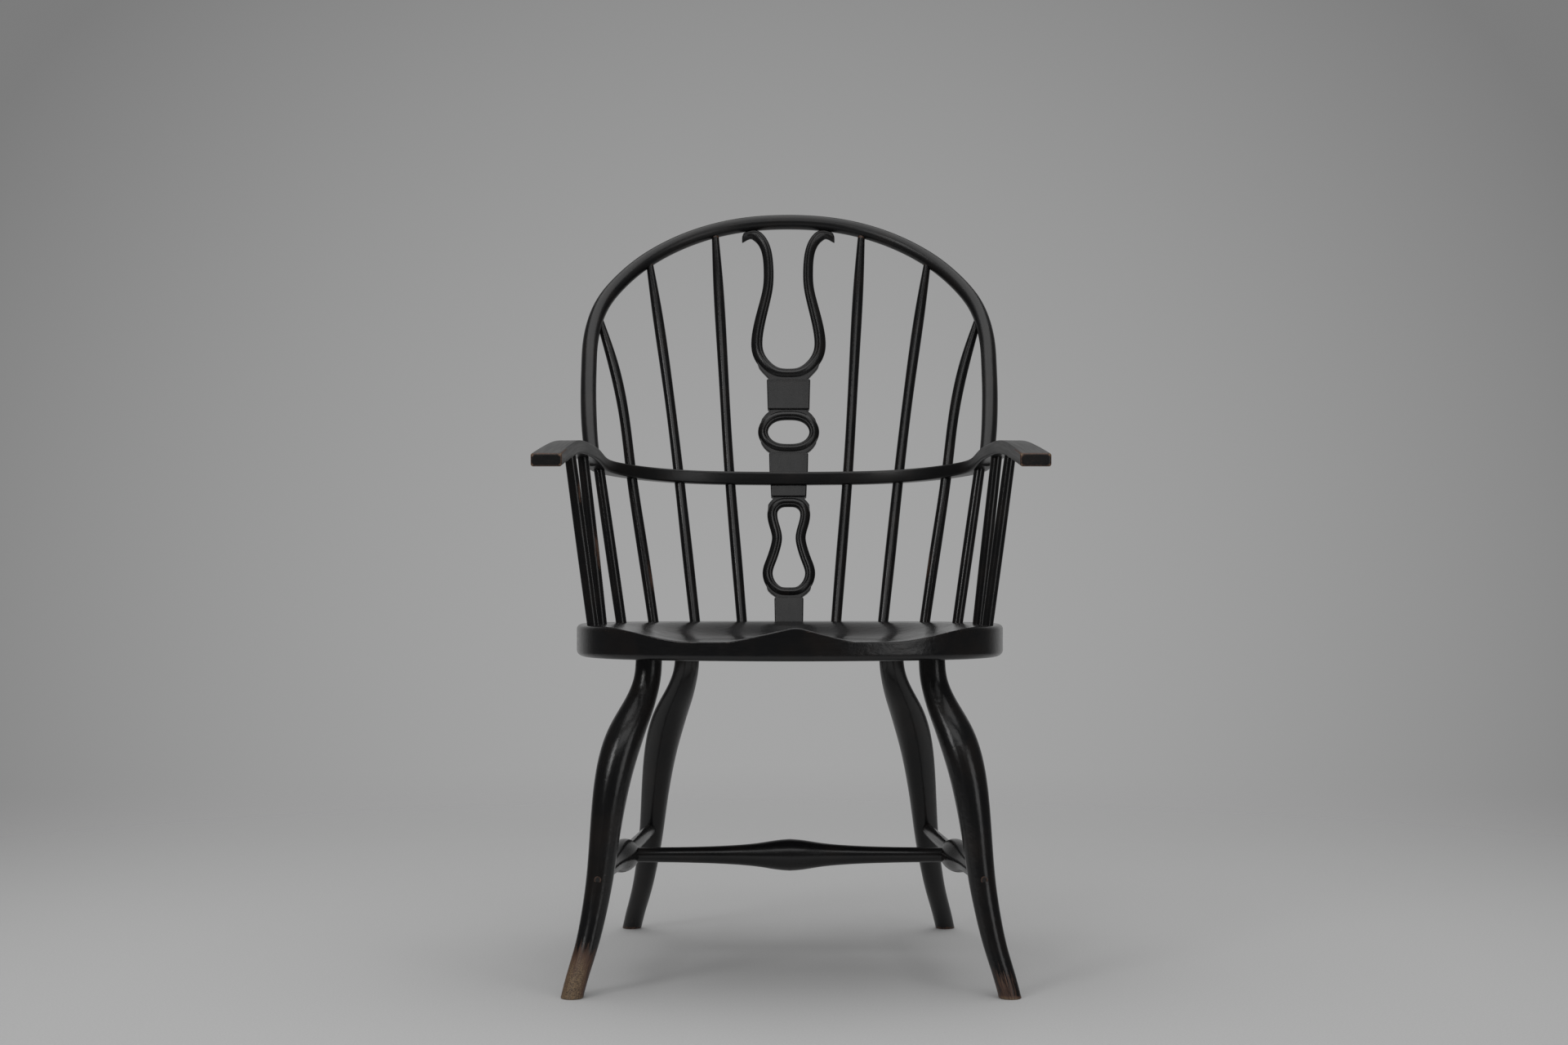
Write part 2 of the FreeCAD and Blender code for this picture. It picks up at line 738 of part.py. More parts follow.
def lower_splat(rail_space):
    """The lower board: a foot, an hourglass loop and a head block under the rail."""
    board = lower_board()
    tall = board.length
    foot_top = lower_foot_top_share * tall
    head_bottom = lower_head_bottom_share * tall
    foot = board.block(lower_foot_width, -overrun, foot_top)
    head = board.block(lower_head_width, head_bottom, tall + splat_block_sink)
    points = [(x * loop_half_width, z * tall) for x, z in loop_shares]
    loop = both_halves(board.bar(points, [loop_bar_width] * len(points)))
    necks = [
        board.neck(loop_foot_neck_shares, loop_half_width),
        board.neck(loop_head_neck_shares, loop_half_width),
    ]
    body = foot.multiFuse([head, loop] + necks).cut(rail_space)
    return body.multiFuse([seat_tenon(0), rail_tenon(board, True, 0)]).removeSplitter()


def scroll_tenons(board, gap):
    """The stub tenons that hold the lyre's scrolls under the hoop."""
    x = scroll_tenon_share * scroll_half_reach
    root = board.at(x, scroll_shares[0][1])
    head = hoop_at_side(x)
    axis = head - root
    axis.normalize()
    reach = (head - root).Length - hoop_diameter / 2 + scroll_tenon_length
    stub = Part.makeCylinder(scroll_tenon_diameter / 2 + gap, reach + gap, root, axis)
    return [stub, mirrored(stub)]


def upper_splat(rail_space, hoop_space):
    """The upper board: a foot block, an oval ring, a middle block and the lyre with its scrolls."""
    board = upper_board()
    tall = board.length
    foot_top = upper_foot_top_share * tall
    middle_bottom = upper_middle_bottom_share * tall
    middle_top = upper_middle_top_share * tall
    foot = board.block(upper_foot_width, -splat_block_sink, foot_top)
    middle = board.block(upper_middle_width, middle_bottom, middle_top)
    ring_points = [(x * ring_half_width, z * tall) for x, z in ring_shares]
    ring = both_halves(board.bar(ring_points, [ring_bar_width] * len(ring_points)))
    lyre_points = [(x * lyre_half_width, z * tall) for x, z, _ in lyre_shares]
    lyre_points += [(x * scroll_half_reach, z * tall) for x, z, _ in scroll_shares]
    widths = [w * lyre_bar_width for _, _, w in lyre_shares + scroll_shares]
    lyre = both_halves(board.bar(lyre_points, widths))
    necks = [
        board.neck(ring_foot_neck_shares, ring_half_width),
        board.neck(ring_head_neck_shares, ring_half_width),
        board.neck(lyre_neck_shares, lyre_half_width),
    ]
    body = foot.multiFuse([middle, ring, lyre] + necks).cut(rail_space).cut(hoop_space)
    tenons = [rail_tenon(board, False, 0)] + scroll_tenons(board, 0)
    return body.multiFuse(tenons).removeSplitter()


def arm_bow_blank(gap):
    """The bent rail as one solid from hand to hand, before any hole is bored."""
    blank = solid_loft(arm_bow_sections(gap))
    ends = [e for e in blank.Edges if e.BoundBox.YMax < hand_end_round - hand_overhang]
    return blank.makeChamfer(hand_end_round, ends)


def chair():
    """Every piece in its place, by name."""
    pieces = {}
    seat = seat_slab().cut(dish_tool())
    arm_bow = arm_bow_blank(0)
    rail_space = arm_bow_blank(glue_gap)
    hoop = back_hoop(0)
    hoop_space = back_hoop(glue_gap)

    seat_cuts = [seat_tenon(glue_gap)]
    arm_cuts = [hoop_space]
    arm_cuts += [rail_tenon(lower_board(), True, glue_gap), rail_tenon(upper_board(), False, glue_gap)]
    hoop_cuts = scroll_tenons(upper_board(), glue_gap)

    for side in sides:
        for name in long_spindle_shares:
            pieces["long_spindle_%s_%s" % (side, name)] = on_side(long_spindle(name, 0), side)
            hole = on_side(long_spindle(name, glue_gap), side)
            seat_cuts.append(hole)
            arm_cuts.append(hole)
            hoop_cuts.append(hole)
        for name in short_spindle_shares:
            pieces["short_spindle_%s_%s" % (side, name)] = on_side(short_spindle(name, 0), side)
            hole = on_side(short_spindle(name, glue_gap), side)
            seat_cuts.append(hole)
            arm_cuts.append(hole)

    side_space = side_stretcher(glue_gap)
    cross_space = cross_stretcher(glue_gap)
    pegs = []
    for side in sides:
        for end in legs:
            leg = cabriole_leg(end)
            seat_cuts.append(on_side(leg_tenon(end, glue_gap), side))
            whole_leg = leg
            leg = leg.cut(side_space)
            if end == "front":
                pegs.append(on_side(peg(0).common(whole_leg), side))
                leg = leg.cut(peg(glue_gap))
            pieces["%s_%s_leg" % (end, side)] = on_side(leg, side)
        stretcher = side_stretcher(0).cut(cross_space).cut(peg(glue_gap))
        pieces["side_stretcher_%s" % side] = on_side(stretcher, side)
    pieces["cross_stretcher"] = cross_stretcher(0)
    pieces["stretcher_pegs"] = Part.makeCompound(pegs)

    pieces["seat"] = seat.cut(Part.makeCompound(seat_cuts))
    pieces["arm_bow"] = arm_bow.cut(Part.makeCompound(arm_cuts))
    pieces["back_hoop"] = hoop.cut(Part.makeCompound(hoop_cuts))
    pieces["lower_splat"] = lower_splat(rail_space)
    pieces["upper_splat"] = upper_splat(rail_space, hoop_space)
    return pieces


def stand_on_origin(pieces):
    """Moves the chair so that the middle of its footprint box is at the origin."""
    box = Part.makeCompound(list(pieces.values())).optimalBoundingBox()
    shift = Vector(-(box.XMin + box.XMax) / 2, -(box.YMin + box.YMax) / 2, -box.ZMin)
    for shape in pieces.values():
        shape.translate(shift)
    return shift, box


def main():
    """Builds the chair and writes one file for each piece."""
    os.makedirs("parts", exist_ok=True)
    pieces = chair()
    shift, box = stand_on_origin(pieces)
    for name, shape in pieces.items():
        shape.exportStep("parts/%s.step" % name)
        print(name, "solids", len(shape.Solids), "valid", shape.isValid(), "volume", round(shape.Volume))
    print("size", round(box.XLength, 1), round(box.YLength, 1), round(box.ZLength, 1))
    print("shift", round(shift.x, 3), round(shift.y, 3), round(shift.z, 3))


main()
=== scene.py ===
# %% [markdown]
# # A double bow Windsor armchair in worn black paint
# The chair has a saddled plank seat, four curved legs with an H stretcher, a bent arm bow on
# spindles, a bent back hoop, and a pierced splat in two lengths. The CAD model is loaded first, as
# a fixed frame, and each piece below is a smooth surface that stands for one node, in its place.

# %% Load the frame
import math
import bpy
import numpy as np
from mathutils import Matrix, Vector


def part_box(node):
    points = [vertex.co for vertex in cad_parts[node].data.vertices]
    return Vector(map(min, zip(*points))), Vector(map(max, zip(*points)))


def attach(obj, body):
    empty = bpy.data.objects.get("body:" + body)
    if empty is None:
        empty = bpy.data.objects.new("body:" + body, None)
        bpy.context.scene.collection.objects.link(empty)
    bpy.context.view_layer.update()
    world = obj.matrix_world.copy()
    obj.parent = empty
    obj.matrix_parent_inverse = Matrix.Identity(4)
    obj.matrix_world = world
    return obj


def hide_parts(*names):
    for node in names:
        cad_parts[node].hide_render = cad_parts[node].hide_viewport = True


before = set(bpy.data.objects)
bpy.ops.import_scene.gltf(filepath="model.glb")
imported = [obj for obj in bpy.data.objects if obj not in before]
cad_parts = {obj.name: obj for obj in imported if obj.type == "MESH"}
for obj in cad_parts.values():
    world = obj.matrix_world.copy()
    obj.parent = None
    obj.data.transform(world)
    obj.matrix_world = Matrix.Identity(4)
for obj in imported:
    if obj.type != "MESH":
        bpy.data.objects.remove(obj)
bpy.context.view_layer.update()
mm = 0.001
seat_low, seat_high = (np.array(corner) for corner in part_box("seat"))
front = seat_low[1]
seat_top = seat_high[2]
seat_bottom = seat_low[2]
half_seat = seat_high[0]
seat_depth = seat_high[1] - seat_low[1]
sides = {"right": 1, "left": -1}
print("seat", np.round((half_seat * 2, seat_depth, seat_top), 3))

# %% [markdown]
# ## Smooth lines
# Nearly every piece of this chair is a stick that swells, bends or both, so the first tool is a
# smooth line through a few places. A cubic spline was chosen over a Blender curve because its
# samples are plain arrays, and because any size that changes along the stick, such as its width,
# can be one more column that runs through the same cubics.


# %% A spline through places
def smooth_line(knots, closed=False):
    """A cubic spline, closed or with free ends, through rows of x, y, z and any more columns.

    Between two knots the place is a p0 + b p1 + ((a^3 - a) m0 + (b^3 - b) m1) h^2 / 6, where b is
    the share of the chord h gone by and a = 1 - b. The bends m solve one linear system that makes
    slopes meet. Returns the run, which is the distance along, and the sampled rows.
    """
    ring = np.array(knots, float)
    if closed:
        ring = np.vstack([ring, ring[:1]])
    h = np.linalg.norm(np.diff(ring[:, :3], axis=0), axis=1)
    rise = np.diff(ring, axis=0) / h[:, None]
    bend = np.zeros_like(ring)
    if closed:
        system = np.diag(2 * (np.roll(h, 1) + h)) + np.diag(h[:-1], 1) + np.diag(h[:-1], -1)
        system[0, -1] += h[-1]
        system[-1, 0] += h[-1]
        bend[:-1] = np.linalg.solve(system, 6 * (rise - np.roll(rise, 1, axis=0)))
        bend[-1] = bend[0]
    else:
        system = np.diag(2 * (h[:-1] + h[1:])) + np.diag(h[1:-1], 1) + np.diag(h[1:-1], -1)
        bend[1:-1] = np.linalg.solve(system, 6 * np.diff(rise, axis=0))
    chords = np.concatenate([[0], np.cumsum(h)])
    fine = np.linspace(0, chords[-1], 60 * len(ring))
    k = np.clip(np.searchsorted(chords, fine, side="right") - 1, 0, len(h) - 1)
    b = ((fine - chords[k]) / h[k])[:, None]
    a = 1 - b
    curl = ((a ** 3 - a) * bend[k] + (b ** 3 - b) * bend[k + 1]) * h[k][:, None] ** 2 / 6
    rows = a * ring[k] + b * ring[k + 1] + curl
    run = np.concatenate([[0], np.cumsum(np.linalg.norm(np.diff(rows[:, :3], axis=0), axis=1))])
    return run, rows


def at_run(line, distance):
    """The rows of a line at distances along it, straight between its samples."""
    run, rows = line
    return np.column_stack([np.interp(distance, run, column) for column in rows.T])


def evenly(total, count, ends=0):
    """Distances from 0 to total: count of them evenly spaced, and closer ones within ends of each end."""
    middle = np.linspace(0, total, count)
    if not ends:
        return middle
    close = ends * np.array([0, 0.04, 0.15, 0.32, 0.55, 0.8])
    held = middle[(middle > ends) & (middle < total - ends)]
    return np.concatenate([close, [ends], held, [total - ends], total - close[::-1]])


def unit(ways):
    """The same directions with a length of one."""
    return ways / np.linalg.norm(ways, axis=-1, keepdims=True)


def slopes(places, distance):
    """The unit direction of travel at each place of a path."""
    return unit(np.gradient(places, distance, axis=0))


def crossing(rows, column, value):
    """The row where a column, which only rises or only falls, has a value."""
    rows = rows[np.argsort(rows[:, column])]
    return np.array([np.interp(value, rows[:, column], other) for other in rows.T])


def from_ends(distance):
    """How far each distance along a piece is from the nearer end."""
    return np.minimum(distance, distance[-1] - distance)


def bump(away, width):
    """A smooth bump: exp(-(away / width)^2)."""
    return np.exp(-((away / width) ** 2))


# %% Both sides of the chair
def on_side(side, rows):
    """Right hand rows, whose first column is x, on the named side."""
    rows = np.array(rows, float)
    rows[..., 0] *= sides[side]
    return rows


def flipped(rows):
    """The same rows on the other side of the chair's middle plane."""
    return on_side("left", rows)


def both_sides(half):
    """A whole symmetric figure from its right half, which runs from the middle to the middle."""
    return np.vstack([half, flipped(half)[-2:0:-1]])


# %% [markdown]
# ## From rings of points to a closed skin
# A skin is a stack of rings with the same number of points, joined by four sided faces and closed
# by a fan at each end. It is made in one go from arrays. Besides its place, each point keeps where
# it was in the straight stick before bending, so that brush marks and grain can follow the bend,
# and how far the paint is worn off there.


# %% Skins
def skin(rings, straight, worn=0):
    """Closed skin of rings[i, j]: corners, faces and the two marks as arrays.

    Face i, j joins points j and j + 1 of rings i and i + 1; a fan to the ring's mean closes each
    end. The signed volume, a sum of corner triple products, tells whether faces look outwards.
    """
    n, m, _ = rings.shape
    worn = np.broadcast_to(worn, (n, m))
    corners = np.vstack([rings.reshape(-1, 3), rings[0].mean(0), rings[-1].mean(0)])
    marks = np.vstack([straight.reshape(-1, 3), straight[0].mean(0), straight[-1].mean(0)])
    bare = np.concatenate([worn.ravel(), [worn[0].mean(), worn[-1].mean()]])
    around = np.arange(m)
    after = (around + 1) % m
    row = np.arange(n - 1)[:, None] * m
    above = row + m
    quads = np.stack([row + around, row + after, above + after, above + around], -1).reshape(-1, 4)
    last = (n - 1) * m
    start = np.stack([np.full(m, n * m), after, around], -1)
    finish = np.stack([np.full(m, n * m + 1), last + around, last + after], -1)
    fans = np.vstack([start, finish])
    halves = np.vstack([quads[:, [0, 1, 2]], quads[:, [0, 2, 3]], fans])
    a, b, c = (corners[halves[:, k]] for k in range(3))
    if np.einsum("ij,ij->i", a, np.cross(b, c)).sum() < 0:
        quads = quads[:, ::-1]
        fans = fans[:, ::-1]
    return corners, quads, fans, marks, bare


def placed(name, data):
    """A new object in the scene for a mesh, a lamp or a camera."""
    thing = bpy.data.objects.new(name, data)
    bpy.context.scene.collection.objects.link(thing)
    return thing


def make_piece(name, skins, node, slot, crease=38):
    """One object from one or more skins, which stands for its CAD node, in its slot's finish."""
    corners, quads, fans, marks, bare = zip(*skins)
    starts = np.cumsum([0] + [len(part) for part in corners])
    faces = []
    for start, four, three in zip(starts, quads, fans):
        faces += (four + start).tolist() + (three + start).tolist()
    mesh = bpy.data.meshes.new(name)
    mesh.from_pydata(np.vstack(corners).tolist(), [], faces)
    straight = mesh.attributes.new("straight", "FLOAT_VECTOR", "POINT")
    straight.data.foreach_set("vector", np.vstack(marks).astype(np.float32).ravel())
    worn = mesh.attributes.new("bare", "FLOAT", "POINT")
    worn.data.foreach_set("value", np.concatenate(bare).astype(np.float32))
    mesh.polygons.foreach_set("use_smooth", np.ones(len(mesh.polygons), bool))
    mesh.set_sharp_from_angle(angle=math.radians(crease))
    mesh.materials.append(finishes[slot])
    mesh.update()
    piece = placed(name, mesh)
    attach(piece, "root")
    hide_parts(node)
    print(name, len(mesh.polygons), "faces")


# %% Cross sections
def oval(count):
    """A unit circle as rows of across and up, anticlockwise: cos t and sin t."""
    t = np.arange(count) * 2 * math.pi / count
    return np.column_stack([np.cos(t), np.sin(t)])


def ridged(count, side=0.42, power=1.35):
    """A moulded bar's section: a soft ridge in the middle, and a bead along the inner side.

    With across a = cos t, up is side |sin t|^0.5 + (1 - side)(1 - |a|^power), signed as sin t, plus
    a bump at a = -0.68 for the bead and less one at a = -0.42 for the groove beside it.
    """
    t = np.arange(count) * 2 * math.pi / count
    a = np.cos(t)
    up = side * np.abs(np.sin(t)) ** 0.5 + (1 - side) * (1 - np.abs(a) ** power)
    up = up + 0.1 * (bump(a + 0.68, 0.12) - bump(a + 0.42, 0.1))
    return np.column_stack([a, np.sign(np.sin(t)) * up * (np.abs(np.sin(t)) > 1e-9)])


# Points on each round corner of a section.
corner_points = 7


def soft_box(half_width, half_thick, corner):
    """Rings of a rectangle with round corners, for an array of half widths.

    Each corner is a quarter circle of the given radius about a centre that lies the radius
    inside both sides; flat sides are the long faces from one quarter to the next.
    """
    turn = np.linspace(0, math.pi / 2, corner_points)
    t = np.concatenate([turn + k * math.pi / 2 for k in range(4)])
    sign_a = np.repeat([1, -1, -1, 1], corner_points)
    sign_b = np.repeat([1, 1, -1, -1], corner_points)
    corner = np.minimum(corner, np.minimum(half_width, half_thick))
    a = sign_a * (half_width - corner)[:, None] + corner[:, None] * np.cos(t)
    b = sign_b * (half_thick - corner)[:, None] + corner[:, None] * np.sin(t)
    return np.stack([a, b], -1)


def carried(places, across, up, section, distance):
    """Rings of a section carried along places, and where each point was in the straight stick.

    A point lies at place + a across + b up; across and up are one vector each, or one per place.
    """
    a = section[..., 0]
    b = section[..., 1]
    across, up = (np.atleast_2d(way)[:, None] for way in (across, up))
    rings = places[:, None] + a[..., None] * across + b[..., None] * up
    straight = np.stack([a, b, np.broadcast_to(distance[:, None], a.shape)], -1)
    return rings, straight


def square_to(directions, seam):
    """Two unit vectors square to each direction; the first is square to the seam as well."""
    across = unit(np.cross(directions, seam))
    return across, np.cross(across, directions)


def quarter(depth, radius):
    """How far a rounded edge lies below the flat, at a depth in from the side: a quarter circle."""
    near = np.clip(radius - depth, 0, radius)
    return radius - np.sqrt(np.maximum(radius ** 2 - near ** 2, 0))


# %% [markdown]
# ## Black paint, worn through
# The chair was brushed with near black oil paint, then handled for a long time. Under lamps the
# paint is a deep black with a soft gloss, a little brown in its thin places. Where hands and
# clothes rub, a red brown undercoat shows first and then ochre wood; small chips and dust stay in
# the surface. The finish is built from noise in real sizes, read along the straight stick, so
# that brush marks run lengthwise on every bend.


# %% Colours and nodes
def linear(hex_colour):
    """An sRGB hex colour as linear red, green, blue and alpha."""
    parts = [int(hex_colour[k:k + 2], 16) / 255 for k in (1, 3, 5)]
    return [p / 12.92 if p <= 0.04045 else ((p + 0.055) / 1.055) ** 2.4 for p in parts] + [1.0]


def empty_tree(owner):
    """Turns a material or the world over to nodes and returns its emptied tree."""
    owner.use_nodes = True
    owner.node_tree.nodes.clear()
    return owner.node_tree


def add(tree, kind, inputs=None, **settings):
    """Adds a node, sets its settings, and sets or links its inputs by name or number.

    A node that is given as an input stands for its first output.
    """
    node = tree.nodes.new("ShaderNode" + kind)
    for key, value in settings.items():
        setattr(node, key, value)
    for key, value in (inputs or {}).items():
        if isinstance(value, bpy.types.Node):
            value = value.outputs[0]
        if isinstance(value, bpy.types.NodeSocket):
            tree.links.new(value, node.inputs[key])
        else:
            node.inputs[key].default_value = value
    return node


# %% Worn paint
def worn_paint(name, gloss=0.24, streak=0.04, along=(330, 330, 16), place="straight", pits=0.0):
    """Near black brushed paint over wood, named for its part of the chair.

    gloss is the mean roughness, streak is how far brush marks change it, along is the brush marks'
    scale on each axis, place says which places the pattern follows, and pits is the depth of dents
    in mm.
    """
    material = bpy.data.materials.new(name)
    tree = empty_tree(material)
    if place == "straight":
        where = add(tree, "Attribute", attribute_name="straight").outputs["Vector"]
    else:
        where = add(tree, "TexCoord").outputs["Object"]
    bare = add(tree, "Attribute", attribute_name="bare").outputs["Fac"]
    # Brush marks: 3 mm wide and about 60 mm long, unless along says otherwise.
    stretched = add(tree, "Mapping", {"Vector": where, "Scale": along})
    brush = add(tree, "TexNoise", {"Vector": stretched, "Scale": 1.0})
    # Clouds of thinner paint, some 40 mm across.
    cloud = add(tree, "TexNoise", {"Vector": where, "Scale": 25.0, "Detail": 4.0})
    # The skin of old oil paint: pimples of about 1.3 mm, which make a streak of light sparkle.
    pimple = add(tree, "TexNoise", {"Vector": where, "Scale": 780.0, "Detail": 2.0})
    # Dents of about 7 mm.
    dent = add(tree, "TexNoise", {"Vector": where, "Scale": 140.0, "Detail": 3.0})
    # Where wear breaks up: patches 2 mm wide and 25 mm long, with smaller speckles in them.
    grain = add(tree, "Mapping", {"Vector": where, "Scale": [c * 1.3 + 20 for c in along]})
    broken = add(tree, "TexNoise", {"Vector": grain, "Scale": 1.0, "Detail": 6.0, "Roughness": 0.7})
    lifted = add(tree, "Math", {0: bare, 1: broken}, operation="ADD")
    under = add(tree, "MapRange", {"Value": lifted, "From Min": 0.78, "From Max": 0.98})
    wood = add(tree, "MapRange", {"Value": lifted, "From Min": 0.98, "From Max": 1.24})
    # Colours: black, its thinner brownish places, the undercoat, and bare wood with dirt in it.
    thin = add(tree, "MapRange", {"Value": cloud, "From Min": 0.45, "From Max": 0.8})
    black = add(tree, "Mix", {0: thin, 6: linear("#0e0e0f"), 7: linear("#1a1614")}, data_type="RGBA")
    red = add(tree, "Mix", {0: under, 6: black.outputs[2], 7: linear("#4d3426")}, data_type="RGBA")
    dirt = add(tree, "MapRange", {"Value": pimple, "From Min": 0.36, "From Max": 0.76})
    ochre = add(tree, "Mix", {0: dirt, 6: linear("#3f3124"), 7: linear("#8e7556")}, data_type="RGBA")
    colour = add(tree, "Mix", {0: wood, 6: red.outputs[2], 7: ochre.outputs[2]}, data_type="RGBA")
    # Gloss: brush marks change it a little, and bare wood is dull.
    dull = add(tree, "MapRange", {"Value": brush, "From Min": 0.3, "From Max": 0.7,
                                  "To Min": gloss - streak, "To Max": gloss + streak})
    rough = add(tree, "Mix", {0: under, 2: dull, 3: 0.55})
    # Relief: brush marks and pimples some hundredths of a millimetre deep, then the dents.
    relief = add(tree, "Bump", {"Height": brush, "Distance": 0.03 * mm})
    for height, depth in ((pimple, 0.05), (dent, pits)):
        relief = add(tree, "Bump", {"Height": height, "Distance": depth * mm,
                                    "Normal": relief})
    shader = add(tree, "BsdfPrincipled", {"Base Color": colour.outputs[2], "Roughness": rough,
                                          "Normal": relief, "IOR": 1.5})
    add(tree, "OutputMaterial", {"Surface": shader})
    return material


# %% Finishes of the pieces
finishes = {
    "painted_seat": worn_paint("brushed black oil paint on the plank seat", 0.22,
                               along=(16, 330, 330), place="object", pits=0.25),
    "painted_bow": worn_paint("brushed black oil paint on bent bows", 0.33, pits=0.1),
    "painted_spindle": worn_paint("brushed black oil paint on spindles", 0.19, pits=0.1),
    "painted_splat": worn_paint("brushed black oil paint on the splat", 0.27, 0.02, (150, 150, 40),
                                pits=0.12),
    "painted_leg": worn_paint("brushed black oil paint on the legs", 0.23, pits=0.25),
    "painted_stretcher": worn_paint("brushed black oil paint on stretchers", 0.24, pits=0.1),
    "peg_wood": worn_paint("worn end grain of the pegs", 0.4),
}
print(list(finishes))

# %% [markdown]
# ## Seat
# The seat is one plank, sawn to a shield and hollowed with a curved adze in two lobes around a
# ridge at the front. One surface of two parameters makes it: the way round the outline, and the way
# from the underside's middle over the edge to the top's middle. The height of the top is the lower
# of the plank's rounded edge and the hollow, so the crisp front edge comes by itself.

# %% Seat sizes
# Sideways, as a share of half the width, and back from the front, as a share of the depth.
outline_shares = np.array([
    (0, 0), (0.34, 0.03), (0.62, 0.09), (0.79, 0.165), (0.91, 0.28), (0.97, 0.42), (0.995, 0.57),
    (0.983, 0.71), (0.905, 0.83), (0.73, 0.915), (0.49, 0.968), (0.24, 0.993), (0, 1),
])
edge_points = 420
dish_half_width, dish_centre, dish_reach = 240 * mm, 200 * mm, 178 * mm
front_sink, back_sink, rim_lift = 16.5 * mm, 20 * mm, 0.5 * mm
dish_power, dish_slope = 2.2, 0.5
ridge_peak, ridge_left, ridge_right = 6 * mm, 79 * mm, 67 * mm
ridge_tip, ridge_length, ridge_power = 4 * mm, 120 * mm, 1.15
top_round, bottom_round, crisp_round = 6 * mm, 7 * mm, 1.6 * mm
crisp_reach, crisp_fade = 80 * mm, 70 * mm
print("hollow", np.round((front_sink, back_sink), 4), "m deep at the front and behind")


# %% Seat hollow
def smooth_step(share):
    """Zero below 0, one above 1, 3s^2 - 2s^3 between."""
    held = np.clip(share, 0, 1)
    return held * held * (3 - 2 * held)


def hollow(x, y):
    """Depth of the hollow below the rim at x and at y back from the seat's front.

    A trough open to the front: depth times a smooth fall to the rim, less a ridge
    (1 - |x| / w)^power exp(-(y / l)^2) that stays proud at the front, blunted at its tip.
    """
    back = np.maximum(y - dish_centre, 0) / dish_reach
    side = np.abs(x) / dish_half_width
    radius = (side ** dish_power + back ** dish_power) ** (1 / dish_power)
    sink = front_sink + (back_sink - front_sink) * smooth_step(y / dish_centre) + rim_lift
    flank = np.where(x > ridge_peak, ridge_right, ridge_left)
    off_middle = (np.hypot(x - ridge_peak, ridge_tip) - ridge_tip) / flank
    ridge = np.maximum(1 - off_middle, 0) ** ridge_power * bump(np.maximum(y, 0), ridge_length)
    return sink * smooth_step((1 - radius) / dish_slope) * (1 - ridge) - rim_lift


# %% Seat outline
plan = both_sides(outline_shares * (half_seat, seat_depth))
edge_line = smooth_line(np.column_stack([plan, np.zeros(len(plan))]), closed=True)
edge = at_run(edge_line, np.linspace(0, edge_line[0][-1], edge_points, endpoint=False))[:, :2]
along = unit(np.roll(edge, -1, axis=0) - np.roll(edge, 1, axis=0))
inwards = np.column_stack([-along[:, 1], along[:, 0]])
middle = np.array([0.0, seat_depth / 2])
print("round the seat", round(edge_line[0][-1], 3), "m")


def seat_ring(depth, share):
    """The outline moved in by depth, then drawn towards the middle by share."""
    moved = edge + inwards * depth
    return moved + (middle - moved) * share


def seat_height_at(ring, depth):
    """The top's height: the lower of the plank's rounded edge and the hollow's crisp edge.

    The plank's edge is crisp too at the front ridge, and rounder from there to the sides.
    """
    away = smooth_step((np.hypot(ring[:, 0], ring[:, 1]) - crisp_reach) / crisp_fade)
    plank = seat_top - quarter(depth, crisp_round + (top_round - crisp_round) * away)
    dish = seat_top - hollow(ring[:, 0], ring[:, 1]) - quarter(depth, crisp_round)
    return np.minimum(plank, dish)


def front_rub(ring, away):
    """Wear of the seat's edge, within a millimetre of it, on the front third of the outline."""
    return 0.2 * bump(away, 0.9 * mm) * (ring[:, 1] < 0.35 * seat_depth)


# %% Seat skin, from the underside's middle over the edge to the top's middle
rings = []
bare = []


def add_ring(ring, height, worn=0):
    """Adds a ring to the seat at a height, or at one height for each of its points."""
    rings.append(np.column_stack([ring, np.broadcast_to(height, len(ring))]))
    bare.append(np.broadcast_to(worn, len(ring)))


for share in np.linspace(0.96, 0.0, 14)[:-1]:
    add_ring(seat_ring(bottom_round, share), seat_bottom)
for turn in np.linspace(0, math.pi / 2, 8):
    ring = seat_ring(bottom_round * (1 - math.sin(turn)), 0)
    add_ring(ring, seat_bottom + bottom_round * (1 - math.cos(turn)))
side_low = seat_bottom + bottom_round
side_tall = seat_height_at(edge, 0) - side_low
for share in np.linspace(0, 1, 9)[1:]:
    add_ring(edge, side_low + side_tall * share, front_rub(edge, (1 - share) * side_tall))
for depth in np.array([0.06, 0.2, 0.45, 0.8, 1.2, 1.6, 2.4, 3.4, 4.6, 6.0]) * mm:
    ring = seat_ring(depth, 0)
    add_ring(ring, seat_height_at(ring, depth), front_rub(ring, depth))
for share in np.linspace(0.0, 0.985, 75)[1:]:
    ring = seat_ring(top_round, share)
    add_ring(ring, seat_height_at(ring, top_round))
rings = np.array(rings)
rings[..., 1] += front
make_piece("plank_seat", [skin(rings, rings, bare)], "seat", "painted_seat")

# %% [markdown]
# ## Arm bow
# The arm bow is one bent rail, level behind, that rises to a crest beside the sitter and widens
# into flat hands. Its section stays a rectangle with softened corners, so the rings are such
# rectangles, kept upright along a spline, while width and thickness run through the same spline.

# %% Arm bow line
arm_half_spread, arm_back, hand_overhang = 292 * mm, 475 * mm, 5 * mm
rail_top, crest_rise = 651 * mm, 26.5 * mm
rail_width, hand_width = 25 * mm, 37.5 * mm
rail_thick, hand_thick = 18.5 * mm, 16.2 * mm
arm_corner, hand_round = 3.2 * mm, 2.6 * mm
